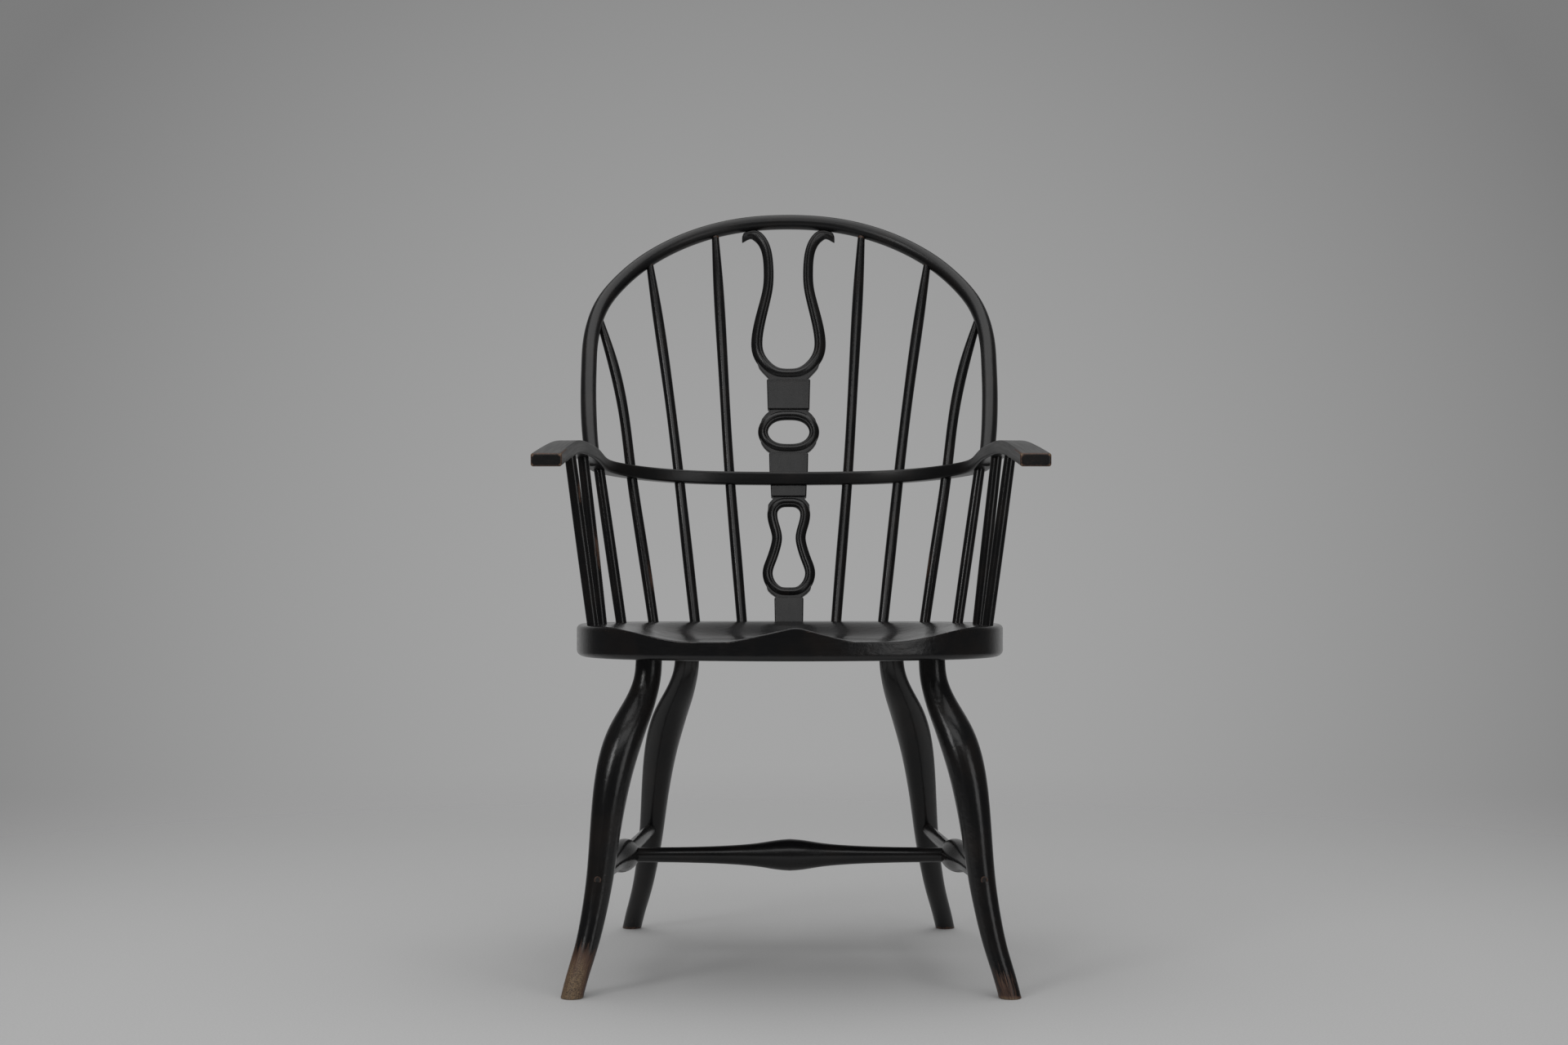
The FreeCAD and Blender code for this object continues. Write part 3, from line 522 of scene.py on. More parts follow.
# Sideways, back from the hand's front, rise of the top, then how far width and thickness have
# gone from the rail's to the hand's.
arm_shares = np.array([
    (0, 1, 0, 0, 0), (0.154, 0.9975, 0.007, 0, 0), (0.2945, 0.99, 0.018, 0, 0),
    (0.531, 0.95, 0.075, 0, 0.13), (0.74, 0.868, 0.226, 0, 0.3), (0.832, 0.796, 0.34, 0, 0.48),
    (0.877, 0.721, 0.47, 0.04, 0.56), (0.899, 0.633, 0.755, 0.08, 0.56),
    (0.918, 0.531, 0.925, 0.2, 0.52), (0.94, 0.4375, 1, 0.4, 0.46),
    (0.961, 0.333, 0.943, 0.6, 0.56), (0.979, 0.208, 0.64, 0.8, 0.74),
    (0.993, 0.094, 0.28, 0.96, 0.87), (1, 0, 0, 1, 1),
])
widths = rail_width + (hand_width - rail_width) * arm_shares[:, 3]
thicks = rail_thick + (hand_thick - rail_thick) * arm_shares[:, 4]
arm_knots = np.column_stack([
    arm_shares[:, 0] * arm_half_spread,
    front - hand_overhang + arm_shares[:, 1] * (arm_back + hand_overhang),
    rail_top + crest_rise * arm_shares[:, 2] - thicks / 2, widths, thicks,
])
right_arm = smooth_line(arm_knots)[1]


def arm_at(column, value):
    """The arm bow's middle where x (column 0) or y (column 1) has a value, on the right half."""
    return crossing(right_arm, column, value)[:3]


# %% Arm bow surface
line = smooth_line(np.vstack([flipped(arm_knots)[:0:-1], arm_knots]))
distance = evenly(line[0][-1], 260, hand_round)
rows = at_run(line, distance)
inset = quarter(from_ends(distance), hand_round)
travel = slopes(rows[:, :3], distance)
travel[:, 2] = 0
across, _ = square_to(unit(travel), (0, 0, 1))
# Three more rings, further and further in, carry each hand's flat front to its middle.
capped = np.array([4.6, 2.2, 0.9]) * mm
rows, across = (np.pad(table, ((3, 3), (0, 0)), mode="edge") for table in (rows, across))
distance = np.pad(distance, 3, mode="edge")
inset = np.concatenate([inset[0] + capped, inset, inset[-1] + capped[::-1]])
section = soft_box(rows[:, 3] / 2 - inset, rows[:, 4] / 2 - inset, arm_corner)
rings, straight = carried(rows[:, :3], across, [0, 0, 1], section, distance)
# Wear: a cloud on each hand, the rim of its front, and the long edges, above more than below and
# most near the tip.
cloud_wear, rim_wear, upper_wear, under_wear, tip_wear = 0.2, 0.28, 0.32, 0.12, 0.08
cloud_reach, edge_reach, tip_reach = 45 * mm, 150 * mm, 14 * mm
from_end = from_ends(distance)[:, None]
inset = inset[:, None]
on_edge = np.tile(np.sin(np.linspace(0, math.pi, corner_points)) ** 3, 4) * (inset < hand_round)
on_top = section[..., 1] > 0
rim = bump(inset - 0.3 * hand_round, 0.35 * hand_round) * (from_end < hand_round)
bare = cloud_wear * bump(from_end, cloud_reach) + rim_wear * rim
bare = bare + on_edge * bump(from_end, edge_reach) * np.where(on_top, upper_wear, under_wear)
bare = bare + on_edge * bump(from_end, tip_reach) * tip_wear
make_piece("bent_arm_bow", [skin(rings, straight, bare)], "arm_bow", "painted_bow")

# %% [markdown]
# ## Back hoop
# The hoop is a round rod, bent in one plane that leans back from the arms. Its middle line is a
# spline in that plane, and its feet are shaved a little thinner where they stand in the arm bow.

# %% Back hoop line
hoop_rake = math.radians(38.7)
hoop_half, hoop_rise, hoop_radius = 276.5 * mm, 461 * mm, 10.7 * mm
hoop_foot_radius, hoop_taper, hoop_sink = 10 * mm, 90 * mm, 7 * mm
hoop_foot_share = 0.633
top_wear, top_reach = 0.16, 90 * mm
# Sideways, as a share of half the width, and up the hoop's plane, as a share of its rise.
hoop_shares = np.array([
    (0.965, 0.07), (0.98, 0.16), (0.992, 0.27), (0.998, 0.37), (1, 0.45), (0.985, 0.55),
    (0.945, 0.64), (0.875, 0.72), (0.775, 0.8), (0.64, 0.875), (0.455, 0.943), (0.25, 0.985),
])


def arm_at_share(share):
    """The right arm's middle at a share of the way from the hand's front to the rail."""
    return arm_at(1, front - hand_overhang + share * (arm_back + hand_overhang))


hoop_foot = arm_at_share(hoop_foot_share)


def in_hoop_plane(x, rise):
    """A place in the hoop's raked plane: sideways, and distance up the plane from its foot."""
    x, rise = np.broadcast_arrays(x, rise)
    return np.column_stack([x, hoop_foot[1] + rise * math.sin(hoop_rake),
                            hoop_foot[2] + rise * math.cos(hoop_rake)])


right = np.vstack([in_hoop_plane(hoop_foot[0], 0.0),
                   in_hoop_plane(hoop_shares[:, 0] * hoop_half, hoop_shares[:, 1] * hoop_rise)])
right = np.vstack([right[0] - unit(right[1] - right[0]) * hoop_sink, right])
apex = in_hoop_plane(0.0, hoop_rise)
hoop_line = smooth_line(np.vstack([right, apex, flipped(right)[::-1]]))


def hoop_at(x):
    """The hoop's middle on its upper right part, at x."""
    rows = hoop_line[1]
    return crossing(rows[np.argmax(rows[:, 0]):len(rows) // 2 + 1], 0, x)


# %% Back hoop surface
distance = evenly(hoop_line[0][-1], 220)
places = at_run(hoop_line, distance)
thicker = smooth_step(from_ends(distance) / hoop_taper)
radius = hoop_foot_radius + (hoop_radius - hoop_foot_radius) * thicker
across, up = square_to(slopes(places, distance), (0, math.cos(hoop_rake), -math.sin(hoop_rake)))
rings, straight = carried(places, across, up, oval(36)[None] * radius[:, None, None], distance)
bare = top_wear * bump(distance - distance[-1] / 2, top_reach)[:, None]
make_piece("bent_back_hoop", [skin(rings, straight, bare)], "back_hoop", "painted_bow")

# %% [markdown]
# ## Spindles
# Six long spindles pass from the seat through the arm bow into the hoop, and six short ones stand
# under the arms. Each was shaved with a drawknife and scraped, so it swells a little at half
# height. A stick along a short spline gives that shape, and the rub of clothes wears its lower
# inner side.

# %% Spindle sizes
seat_radius, belly_radius, rail_radius, tip_radius = 7.1 * mm, 7.6 * mm, 7.2 * mm, 4.8 * mm
tip_taper, socket, into_arm = 75 * mm, 21 * mm, 4 * mm
# Foot sideways and back on the seat, place sideways on the arm bow and on the hoop, and how far it
# bows inwards, as a share of the length above the arm bow.
long_shares = {
    "inner": (0.233, 0.93, 0.284, 0.387, 0),
    "middle": (0.463, 0.907, 0.527, 0.727, 0.006),
    "outer": (0.6625, 0.849, 0.747, 0.973, 0.034),
}
# Foot sideways and back on the seat, and place along the arm.
short_shares = {
    "rear": (0.806, 0.726, 0.708), "middle": (0.878, 0.544, 0.5), "front": (0.8965, 0.372, 0.342),
}
# How much paint is gone, how high above the seat, and over what length.
worn_spindles = {
    "long_left_outer": (0.62, 62 * mm, 30 * mm), "long_right_outer": (0.55, 72 * mm, 34 * mm),
    "short_left_front": (0.5, 170 * mm, 22 * mm), "short_left_middle": (0.6, 95 * mm, 34 * mm),
}


def rubbed(name, distance, rings):
    """Wear of one spindle: at its named height above the seat, on one side, and at the hoop."""
    amount, height, spread = worn_spindles.get(name, (0.1, 90 * mm, 60 * mm))
    lift = bump(distance - socket - height, spread)[:, None]
    middle = rings.mean(1, keepdims=True)
    outward = unit(rings - middle)
    inner = -outward[..., 0] * np.sign(middle[..., 0])
    facing = np.clip(-outward[..., 1] * 0.6 + inner * 0.75, 0, 1) ** 4
    into_hoop = distance[-1] - hoop_radius * 1.02
    joint = bump(distance - into_hoop, 0.8 * mm)[:, None] * name.startswith("long")
    return amount * lift * facing + 0.6 * joint


def spindle(length, side, name, knots, count):
    """A round stick from right hand knots of x, y, z and radius, on its own side.

    Its straight places are shifted by its side and its name's length, to vary the marks.
    """
    line = smooth_line(on_side(side, knots))
    distance = evenly(line[0][-1], count)
    rows = at_run(line, distance)
    across, up = square_to(slopes(rows[:, :3], distance), (0, 1, 0))
    section = oval(24)[None] * rows[:, 3, None, None]
    rings, straight = carried(rows[:, :3], across, up, section, distance)
    label = "%s_%s_%s" % (length, side, name)
    straight = straight + (0, 0, len(label) * 0.37 + sides[side])
    make_piece("spindle_" + label, [skin(rings, straight, rubbed(label, distance, rings))],
               "%s_spindle_%s_%s" % (length, side, name), "painted_spindle")


def footing(seat_x, seat_y, arm):
    """A spindle's foot on the seat, the way up from it to the arm bow, and its end in the seat."""
    foot = np.array([seat_x * half_seat, front + seat_y * seat_depth, seat_top])
    rise = unit(arm - foot)
    return foot, rise, foot - rise * socket


# %% Spindle surfaces
for side in sides:
    for name, (seat_x, seat_y, arm_x, hoop_x, bow) in long_shares.items():
        arm = arm_at(0, arm_x * arm_half_spread)
        head = hoop_at(hoop_x * hoop_half)
        foot, _, base = footing(seat_x, seat_y, arm)
        middle = (arm + head) / 2 - np.array([bow * np.linalg.norm(head - arm), 0, 0])
        line = smooth_line([base, (foot + arm) / 2, arm, middle, head])
        total = line[0][-1]
        rail = np.linalg.norm(arm - base)
        knots = np.array([0, rail * 0.25, rail * 0.5, rail * 0.75, rail, (rail + total - tip_taper) / 2,
                          total - tip_taper, total - tip_taper * 0.45, total])
        radii = [seat_radius, (seat_radius + belly_radius) / 2, belly_radius,
                 (belly_radius + rail_radius) / 2, rail_radius, rail_radius, rail_radius,
                 (rail_radius + tip_radius) / 2, tip_radius]
        spindle("long", side, name, np.column_stack([at_run(line, knots), radii]), 110)
    for name, (seat_x, seat_y, arm_share) in short_shares.items():
        arm = arm_at_share(arm_share)
        _, rise, base = footing(seat_x, seat_y, arm)
        head = arm + rise * into_arm
        knots = [(*base, seat_radius), (*((base + head) / 2), belly_radius), (*head, rail_radius)]
        spindle("short", side, name, knots, 60)

# %% [markdown]
# ## Splat
# The splat is two thin boards in one plane that leans back. Flat blocks alternate with pierced
# figures: a loop below the rail, an oval ring and a lyre above it. The figures are moulded bars
# with a soft ridge and a bead along the inner side, carried along splines in the board's plane. The
# blocks are soft boxes, and thinner necks widen from them into the bars.

# %% Splat boards
splat_thick, block_corner = 11 * mm, 1.9 * mm
bar_depth, bar_corner, scroll_turn = 0.92, 1.3 * mm, 16 * mm
neck_thick, neck_corner, neck_edge = 6.8 * mm, 1.4 * mm, 0.05 * mm
block_wear, block_wear_width = 0.22, 1.5 * mm
rail_middle = arm_at(0, 0.0)


class Board:
    """The middle plane of one of the splat's boards, which leans back from its foot to its head."""

    def __init__(self, foot, head):
        self.foot = foot
        self.length = np.linalg.norm(head - foot)
        self.rise = unit(head - foot)
        self.out = np.array([0, -self.rise[2], self.rise[1]])

    def place(self, x, height):
        """Points of the plane at sideways places and heights up the board, in metres."""
        return self.foot + np.multiply.outer(x, [1, 0, 0]) + np.multiply.outer(height, self.rise)

    def block(self, width, low, high, taper=1.0):
        """A flat block: rings of a soft box going up, drawn in at both ends."""
        distance = evenly(high - low, 9, block_corner)
        share = distance / distance[-1]
        inset = quarter(from_ends(distance), block_corner)
        half = width / 2 * (1 + (taper - 1) * share)
        section = soft_box(half - inset, splat_thick / 2 - inset, block_corner)
        places = self.place(0.0, low + distance)
        rings, straight = carried(places, [1, 0, 0], self.out, section, distance + low)
        off_edge = np.abs(section[..., 0]) - half[:, None]
        return skin(rings, straight, block_wear * bump(off_edge, block_wear_width))

    def bar(self, figure, width, closed=False, cut=0.0):
        """A ridged bar along a figure in the plane, rows of x and height; it thins with its width.

        Near both ends, within the cut distance, the section turns from square to the bar to upright.
        """
        places = self.place(figure[:, 0], figure[:, 1])
        line = smooth_line(np.column_stack([places, np.broadcast_to(width, len(places))]), closed)
        distance = evenly(line[0][-1], 240, cut)
        rows = at_run(line, distance)
        travel = slopes(rows[:, :3], distance)
        if closed:
            travel[0] = travel[-1] = unit(travel[0] + travel[-1])
        across = np.cross(travel, self.out)
        half = rows[:, 3] / 2
        if cut:
            upright = smooth_step(1 - from_ends(distance) / cut)[:, None]
            across = across * (1 - upright) + np.sign(across @ self.rise)[:, None] * self.rise * upright
            half = half - quarter(from_ends(distance), bar_corner)
        section = ridged(72) * (1.0, bar_depth) * half[:, None, None]
        rings, straight = carried(rows[:, :3], across, self.out, section, distance)
        return skin(rings, straight)

    def neck(self, shares, half_width, turn):
        """A web between a block and a bar: boxes side by side, from the web's edge to the bar.

        Shares are of the figure's half width and the board's length. The first turn rows give the
        web's edge, out from the block, and the rest lie inside the bar.
        """
        rows = np.array(shares) * (half_width, self.length)
        edge, inside = rows[:turn], rows[turn:]
        edge = np.vstack([edge[:1] * (0, 1), edge])
        inside = np.vstack([edge[-1:], inside, inside[-1:] * (0, 1)])[::-1]
        x = np.linspace(-edge[-1, 0], edge[-1, 0], 81)
        one = np.interp(np.abs(x), edge[:, 0], edge[:, 1])
        other = np.interp(np.abs(x), inside[:, 0], inside[:, 1])
        half = np.maximum(np.abs(one - other) / 2, neck_edge)
        section = soft_box(half, neck_thick / 2, neck_corner)
        rings, straight = carried(self.place(x, (one + other) / 2), self.rise, self.out, section, x)
        return skin(rings, straight[..., [2, 1, 0]])


# %% Lower splat
splat_seat_share = 0.9465
foot = np.array([0, front + splat_seat_share * seat_depth, seat_top])
whole = rail_middle - foot
lower = Board(foot, foot + whole * (rail_top - rail_thick - seat_top) / whole[2])
foot_width, head_width, block_taper = 38.8 * mm, 49.6 * mm, 1.04
foot_top, head_bottom, into_seat, into_rail = 0.165, 0.905, 12 * mm, 6 * mm
loop_half, figure_bar = 29.5 * mm, 14.2 * mm
loop_shares = [
    (0, 0.208), (0.42, 0.214), (0.82, 0.263), (1, 0.355), (0.84, 0.44), (0.63, 0.54),
    (0.56, 0.61), (0.63, 0.67), (0.77, 0.755), (0.73, 0.82), (0.4, 0.865), (0, 0.872),
]
loop_foot_neck = [
    (0.597, 0.15), (0.597, 0.165), (0.685, 0.18), (0.84, 0.197), (0.983, 0.219), (1.045, 0.24),
    (1.06, 0.264), (0.82, 0.263), (0.42, 0.214),
]
loop_head_neck = [
    (0.715, 0.92), (0.715, 0.9), (0.881, 0.872), (0.98, 0.85), (1, 0.82), (1.006, 0.79),
    (0.76, 0.79), (0.73, 0.82), (0.4, 0.865),
]
tall = lower.length
loop = both_sides(loop_shares) * (loop_half, tall)
lower_skins = [
    lower.block(foot_width, -into_seat, foot_top * tall, block_taper),
    lower.neck(loop_foot_neck, loop_half, 7),
    lower.bar(loop, figure_bar, closed=True),
    lower.neck(loop_head_neck, loop_half, 6),
    lower.block(head_width, head_bottom * tall, tall + into_rail, block_taper),
]
make_piece("carved_lower_splat", lower_skins, "lower_splat", "painted_splat")

# %% Upper splat
lyre_half, lyre_bar, scroll_half, scroll_share = 45.5 * mm, 15 * mm, 67.5 * mm, 0.66
ring_half = 36.4 * mm
whole = apex[0] - rail_middle
start = rail_middle + whole * (rail_top - rail_middle[2]) / whole[2]
under_hoop = hoop_at(scroll_share * scroll_half)[2] - start[2]
reach = np.linalg.norm(whole * under_hoop / whole[2]) - hoop_radius
upper = Board(start, start + unit(whole) * reach)
tall = upper.length
foot_width, foot_taper, foot_top = 54 * mm, 1.03, 0.074
middle_width, middle_taper, middle_low, middle_high = 59.6 * mm, 1.045, 0.249, 0.373
ring_shares = [
    (0, 0.094), (0.45, 0.0985), (0.82, 0.12), (1, 0.1615), (0.82, 0.203), (0.45, 0.2245),
    (0, 0.229),
]
lyre_shares = np.array([
    (0, 0.398, 1.05), (0.36, 0.403, 1.08), (0.72, 0.434, 1.1), (0.965, 0.487, 1.1),
    (0.995, 0.54, 1.08), (0.91, 0.61, 1.05), (0.76, 0.69, 1), (0.645, 0.765, 0.97),
    (0.63, 0.825, 0.97), (0.655, 0.877, 0.96), (0.726, 0.921, 0.98), (0.857, 0.955, 1.04),
])
scroll_shares = np.array([
    (0.643, 0.969, 1.08), (0.732, 0.979, 1.04), (0.815, 0.98, 0.88), (0.908, 0.9745, 0.86),
    (0.965, 0.967, 0.88), (1, 0.9575, 0.62),
])
ring_foot_neck = [
    (0.692, 0.066), (0.692, 0.074), (0.852, 0.086), (0.964, 0.098), (1.071, 0.114), (1.105, 0.134),
    (0.907, 0.136), (0.82, 0.12), (0.45, 0.0985),
]
ring_head_neck = [
    (0.742, 0.257), (0.742, 0.2455), (0.89, 0.232), (1.038, 0.213), (1.1, 0.194), (0.934, 0.1845),
    (0.82, 0.203), (0.45, 0.2245),
]
lyre_neck = [
    (0.596, 0.364), (0.596, 0.373), (0.697, 0.3875), (0.807, 0.402), (0.918, 0.419), (0.966, 0.434),
    (0.99, 0.446), (0.995, 0.456), (0.84, 0.455), (0.72, 0.434), (0.36, 0.403),
]
ring = both_sides(ring_shares) * (ring_half, tall)
half = np.vstack([lyre_shares * (lyre_half, tall, lyre_bar),
                  scroll_shares * (scroll_half, tall, lyre_bar)])
lyre = np.vstack([flipped(half)[:0:-1], half])
upper_skins = [
    upper.block(foot_width, -into_rail, foot_top * tall, foot_taper),
    upper.neck(ring_foot_neck, ring_half, 6),
    upper.bar(ring, figure_bar, closed=True),
    upper.neck(ring_head_neck, ring_half, 5),
    upper.block(middle_width, middle_low * tall, middle_high * tall, middle_taper),
    upper.neck(lyre_neck, lyre_half, 8),
    upper.bar(lyre, lyre[:, 2], cut=scroll_turn),
]
make_piece("carved_upper_splat", upper_skins, "upper_splat", "painted_splat")

# %% [markdown]
# ## Legs
# Each leg is sawn to a long S in an upright plane that points outwards at its corner, then
# rounded. Rings are level circles, so the sole is flat on the floor without any trimming. The
# fronts of the front feet have lost their paint to shoes.

# %% Leg lines
knee, sole_round = 48.5 * mm, 1.5 * mm
# Height, way out to the foot, and thickness as a share of the knee's.
leg_shares = np.array([
    (1, 0, 0.68), (0.945, 0.018, 0.695), (0.89, 0.085, 0.775), (0.84, 0.18, 0.895),
    (0.793, 0.275, 0.975), (0.744, 0.355, 1), (0.65, 0.465, 0.94), (0.575, 0.523, 0.866),
    (0.478, 0.578, 0.775), (0.333, 0.652, 0.68), (0.236, 0.725, 0.63), (0.142, 0.82, 0.59),
    (0.052, 0.94, 0.567), (0, 1, 0.557),
])
# In mm: the top sideways and back from the seat's front, then how far the foot stands out and back
# from the top.
leg_places = {"front": (176, 110, 86, -107), "rear": (138, 350, 86.5, 172)}


def leg_rows(end):
    """The right hand leg's middle line and radius from the top to the sole."""
    x, y, splay, run = (value * mm for value in leg_places[end])
    out = leg_shares[:, 1]
    return smooth_line(np.column_stack([
        x + splay * out, front + y + run * out, leg_shares[:, 0] * seat_bottom,
        leg_shares[:, 2] * knee / 2,
    ]))


def leg_at(end, height):
    """The right hand leg's middle and radius at a height."""
    return crossing(leg_rows(end)[1], 2, height)


# %% Leg surfaces
# How much of the paint is gone at the sole, and how high that reaches.
foot_wear = {("front", "left"): (0.74, 62 * mm), ("front", "right"): (0.4, 46 * mm)}
for side in sides:
    for end in leg_places:
        line = leg_rows(end)
        distance = line[0][-1] - sole_round * np.array([0.7, 0.42, 0.2, 0.06, 0])
        distance = np.append(np.linspace(0, line[0][-1] - sole_round, 120), distance)
        rows = on_side(side, at_run(line, distance))
        radius = rows[:, 3] - quarter(rows[:, 2], sole_round)
        section = oval(40)[None] * radius[:, None, None]
        rings, straight = carried(rows[:, :3], [1, 0, 0], [0, 1, 0], section, distance)
        height = rings[..., 2]
        outward = (rings - rows[:, None, :3]) / np.maximum(radius, 1e-6)[:, None, None]
        facing = np.clip(0.5 - outward[..., 1] * 0.55 - outward[..., 0] * 0.25, 0, 1)
        strength, worn_height = foot_wear.get((end, side), (0.2, 30 * mm))
        bare = strength * np.exp(-((height / worn_height) ** 3.6)) * (0.25 + 0.75 * facing)
        bare = bare + 0.35 * bump(height, 2.5 * mm)
        straight = straight + (0, 0, 2.3 + 1.7 * sides[side] + len(end))
        make_piece("cabriole_leg_%s_%s" % (end, side), [skin(rings, straight, bare)],
                   "%s_%s_leg" % (end, side), "painted_leg")

# %% [markdown]
# ## Stretchers and pegs
# A side stretcher runs between the legs of each side, turned to a long taper and a bulb with a
# sharp rim, where the profile steps down to a thin rod. The cross stretcher joins the two bulbs. A
# lathe profile carried along a straight axis is all they need. The pegs lock the side stretchers in
# the front legs.

# %% Turned pieces
front_height, rear_height = 138.5 * mm, 150.5 * mm
into_leg, into_bulb = 7 * mm, 3 * mm
side_end, side_bulb, side_rod, side_tail = 16.5 * mm, 41 * mm, 18 * mm, 15.5 * mm
# Place along the taper and its bulb, and how far the radius has grown from end to bulb.
side_profile = np.array([
    (0, 0), (0.09, 0.03), (0.19, 0.12), (0.28, 0.33), (0.35, 0.79), (0.41, 1), (0.46, 0.86),
    (0.495, 0.52),
])
cross_end, cross_bulb, cross_share = 18.5 * mm, 41 * mm, 0.425
cross_profile = np.array([
    (0, 0), (0.3, 0.05), (0.48, 0.13), (0.62, 0.24), (0.74, 0.4), (0.82, 0.57), (0.89, 0.78),
    (0.95, 0.93), (1, 1),
])


def lathe_rows(profile, count):
    """Place and radius along a lathe profile, smooth between its rows."""
    line = smooth_line(np.column_stack([profile, np.zeros(len(profile))]))
    return at_run(line, evenly(line[0][-1], count))[:, :2]


def turned(start, finish, rows, shift, worn=0):
    """A turned piece: circles square to the axis at the given places, of the given radii."""
    axis = unit(finish - start)
    section = oval(44)[None] * rows[:, 1, None, None]
    places = start + rows[:, :1] * axis
    rings, straight = carried(places, *square_to(axis, (0, 0, 1)), section, rows[:, 0])
    return skin(rings, straight + (0, 0, shift), np.broadcast_to(worn, len(rows))[:, None])


# %% Side stretchers
axis_front = leg_at("front", front_height)[:3]
axis_rear = leg_at("rear", rear_height)[:3]
span = np.linalg.norm(axis_rear - axis_front)
bulb = lathe_rows(side_profile * (span, (side_bulb - side_end) / 2) + (0, side_end / 2), 90)
rod = [(bulb[-1, 0], side_rod / 2), (span, side_tail / 2), (span + into_leg, side_tail / 2)]
side_rows = np.vstack([[(-into_leg, side_end / 2)], bulb, rod])
for side in sides:
    stretcher = turned(on_side(side, axis_front), on_side(side, axis_rear), side_rows, 1.3 * sides[side])
    make_piece("turned_side_stretcher_" + side, [stretcher], "side_stretcher_" + side,
               "painted_stretcher", crease=30)

# %% Cross stretcher
cross_right = axis_front + (axis_rear - axis_front) * cross_share
cross_long = 2 * cross_right[0]
grown = cross_profile * (cross_long / 2, (cross_bulb - cross_end) / 2)
left_rows = lathe_rows(grown + (0, cross_end / 2), 70)
right_rows = (flipped(left_rows) + (cross_long, 0))[-2::-1]
first_row, last_row = (-into_bulb, cross_end / 2), (cross_long + into_bulb, cross_end / 2)
cross_rows = np.vstack([[first_row], left_rows, right_rows, [last_row]])
make_piece("turned_cross_stretcher", [turned(flipped(cross_right), cross_right, cross_rows, 0.4)],
           "cross_stretcher", "painted_stretcher")

# %% Peg heads
peg_radius, peg_proud = 4.25 * mm, 0.4 * mm
head = leg_at("front", front_height)[3] + peg_proud
# Each head is a low dome whose rim has lost its paint.
peg_rows = np.array([
    (-head, 0.3), (-head, 0.55), (-head + 0.1 * mm, 0.85), (-head + 0.35 * mm, 1.0), (8 * mm, 1.0),
]) * (1, peg_radius)
peg_wear = [0.1, 0.25, 0.45, 0.45, 0.2]
pegs = [turned(on_side(side, axis_front), on_side(side, axis_rear), peg_rows, 0.0, peg_wear)
        for side in sides]
make_piece("wooden_pegs", pegs, "stretcher_pegs", "peg_wood")

# %% [markdown]
# ## Studio
# The chair stands on pale grey paper that runs back to a backdrop of the same grey. A wall would
# hide the chair from behind, so the paper is a round floor that fades out, and the world shows the
# backdrop's grey to the camera from every side. Reflections find that grey behind the chair and a
# dim room elsewhere. Two soft boxes stand at the front sides, one hangs above the camera and a
# large one above the chair.

# %% Paper floor
floor_radius, fade_start, fade_end, floor_corners = 3.2, 0.7, 3.0, 96
ring = np.column_stack([oval(floor_corners), np.zeros(floor_corners)]) * floor_radius
floor_mesh = bpy.data.meshes.new("paper_floor")
floor_mesh.from_pydata(ring.tolist(), [], [list(range(floor_corners))])
placed("paper_floor", floor_mesh)
# Paper is dull all over, with fibres of a few millimetres that only just show.
paper = bpy.data.materials.new("matt grey background paper")
tree = empty_tree(paper)
where = add(tree, "TexCoord").outputs["Object"]
fibre = add(tree, "TexNoise", {"Vector": where, "Scale": 400.0, "Detail": 2.0})
grey = add(tree, "Mix", {0: fibre, 6: linear("#acacac"), 7: linear("#bababa")}, data_type="RGBA")
away = add(tree, "VectorMath", {0: where}, operation="LENGTH").outputs["Value"]
fade = add(tree, "MapRange", {"Value": away, "From Min": fade_start, "From Max": fade_end},
           interpolation_type="SMOOTHSTEP")
matt = add(tree, "BsdfPrincipled", {"Base Color": grey.outputs[2], "Roughness": 0.9})
seen = add(tree, "MixShader", {0: fade, 1: matt, 2: add(tree, "BsdfTransparent")})
add(tree, "OutputMaterial", {"Surface": seen})
floor_mesh.materials.append(paper)
print("paper floor", floor_radius * 2, "m across")

# %% Backdrop and room
world = bpy.data.worlds.new("studio")
tree = empty_tree(world)
direction = add(tree, "TexCoord").outputs["Generated"]
# The cosine of the angle to a point straight behind the chair, 3 degrees below the horizon.
facing = add(tree, "VectorMath", {0: direction, 1: (0.0, 0.9986, -0.052)}, operation="DOT_PRODUCT")
facing = facing.outputs["Value"]
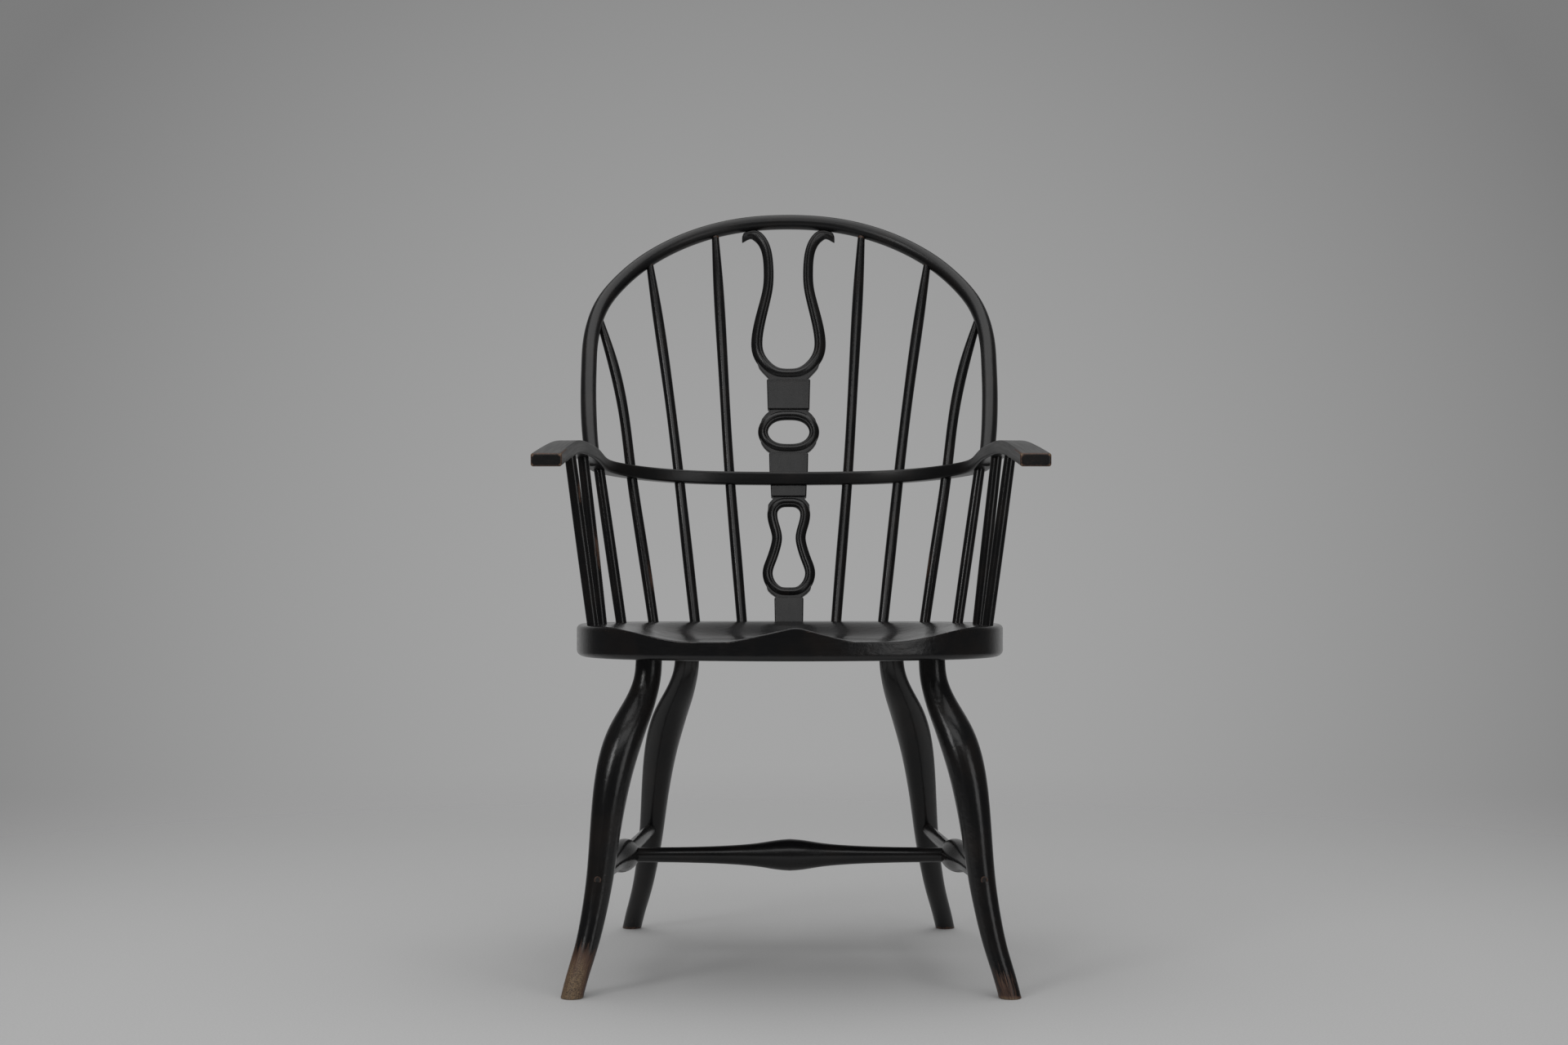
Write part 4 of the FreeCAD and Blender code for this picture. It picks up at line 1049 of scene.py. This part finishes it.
# The backdrop is brightest there and falls off to its corners, 24 degrees away.
backdrop = add(tree, "MapRange", {"Value": facing, "From Min": 0.912, "From Max": 1.0,
                                  "To Min": 0.2, "To Max": 0.37})
room = add(tree, "MapRange", {"Value": facing, "From Min": 0.6, "From Max": 1.0,
                              "To Min": 0.06, "To Max": 0.42})
rays = add(tree, "LightPath").outputs
mirrored = add(tree, "Math", {0: rays["Is Glossy Ray"], 1: rays["Is Transmission Ray"]},
               operation="MAXIMUM")
air = add(tree, "Mix", {0: mirrored, 2: 0.5, 3: room})
level = add(tree, "Mix", {0: rays["Is Camera Ray"], 2: air, 3: backdrop})
background = add(tree, "Background", {"Color": linear("#ffffff"), "Strength": level})
add(tree, "OutputWorld", {"Surface": background})
bpy.context.scene.world = world
bpy.context.scene.view_settings.view_transform = "Standard"


# %% Lamps
def soft_box_lamp(name, place, target, size, power):
    """A rectangular area lamp at a place, turned to a target, that the camera doesn't see."""
    lamp = bpy.data.lights.new(name, "AREA")
    lamp.shape = "RECTANGLE"
    lamp.size, lamp.size_y = size
    lamp.energy = power
    holder = placed(name, lamp)
    way = np.array(target) - np.array(place)
    holder.location = place
    tilt = math.atan2(math.hypot(way[0], way[1]), -way[2])
    holder.rotation_euler = (tilt, 0, math.atan2(-way[0], way[1]))
    holder.visible_camera = False
    print(name, power, "W")


soft_box_lamp("left_soft_box", (-1.75, -2.2, 1.9), (0, 0, 0.6), (0.7, 1.3), 13)
soft_box_lamp("right_soft_box", (1.79, -2.3, 1.1), (0.1, 0, 0.6), (0.95, 1.8), 7)
soft_box_lamp("front_soft_box", (0, -2.3, 2.4), (0, 0, 0.6), (2.0, 1.0), 7.5)
soft_box_lamp("overhead_soft_box", (0, 0.1, 2.9), (0, 0.1, 0), (3.0, 3.0), 34)

# %% [markdown]
# ## Camera
# The photograph was taken level, about half a metre up and 2.6 m before the seat's front edge. The
# lens follows from how many pixels a metre takes up there. A shift of the lens puts the horizon a
# little below the picture's middle without tilting the camera, so upright pieces stay upright.

# %% Camera
photo_wide, photo_high = 1920, 1280
view_distance = 2600 * mm
camera_height = 505 * mm
middle_x, horizon_y = 968.6, 705
camera_aside = -18 * mm
focal_pixels = 2667
camera = bpy.data.cameras.new("camera")
camera.sensor_width = 36
camera.lens = camera.sensor_width * focal_pixels / photo_wide
camera.shift_x = (photo_wide / 2 - middle_x - focal_pixels * camera_aside / view_distance) / photo_wide
camera.shift_y = (horizon_y - photo_high / 2) / photo_wide
eye = placed("camera", camera)
eye.location = (camera_aside, front - view_distance, camera_height)
eye.rotation_euler = (math.pi / 2, 0, 0)
bpy.context.scene.camera = eye
print("lens", round(camera.lens, 1), "mm")
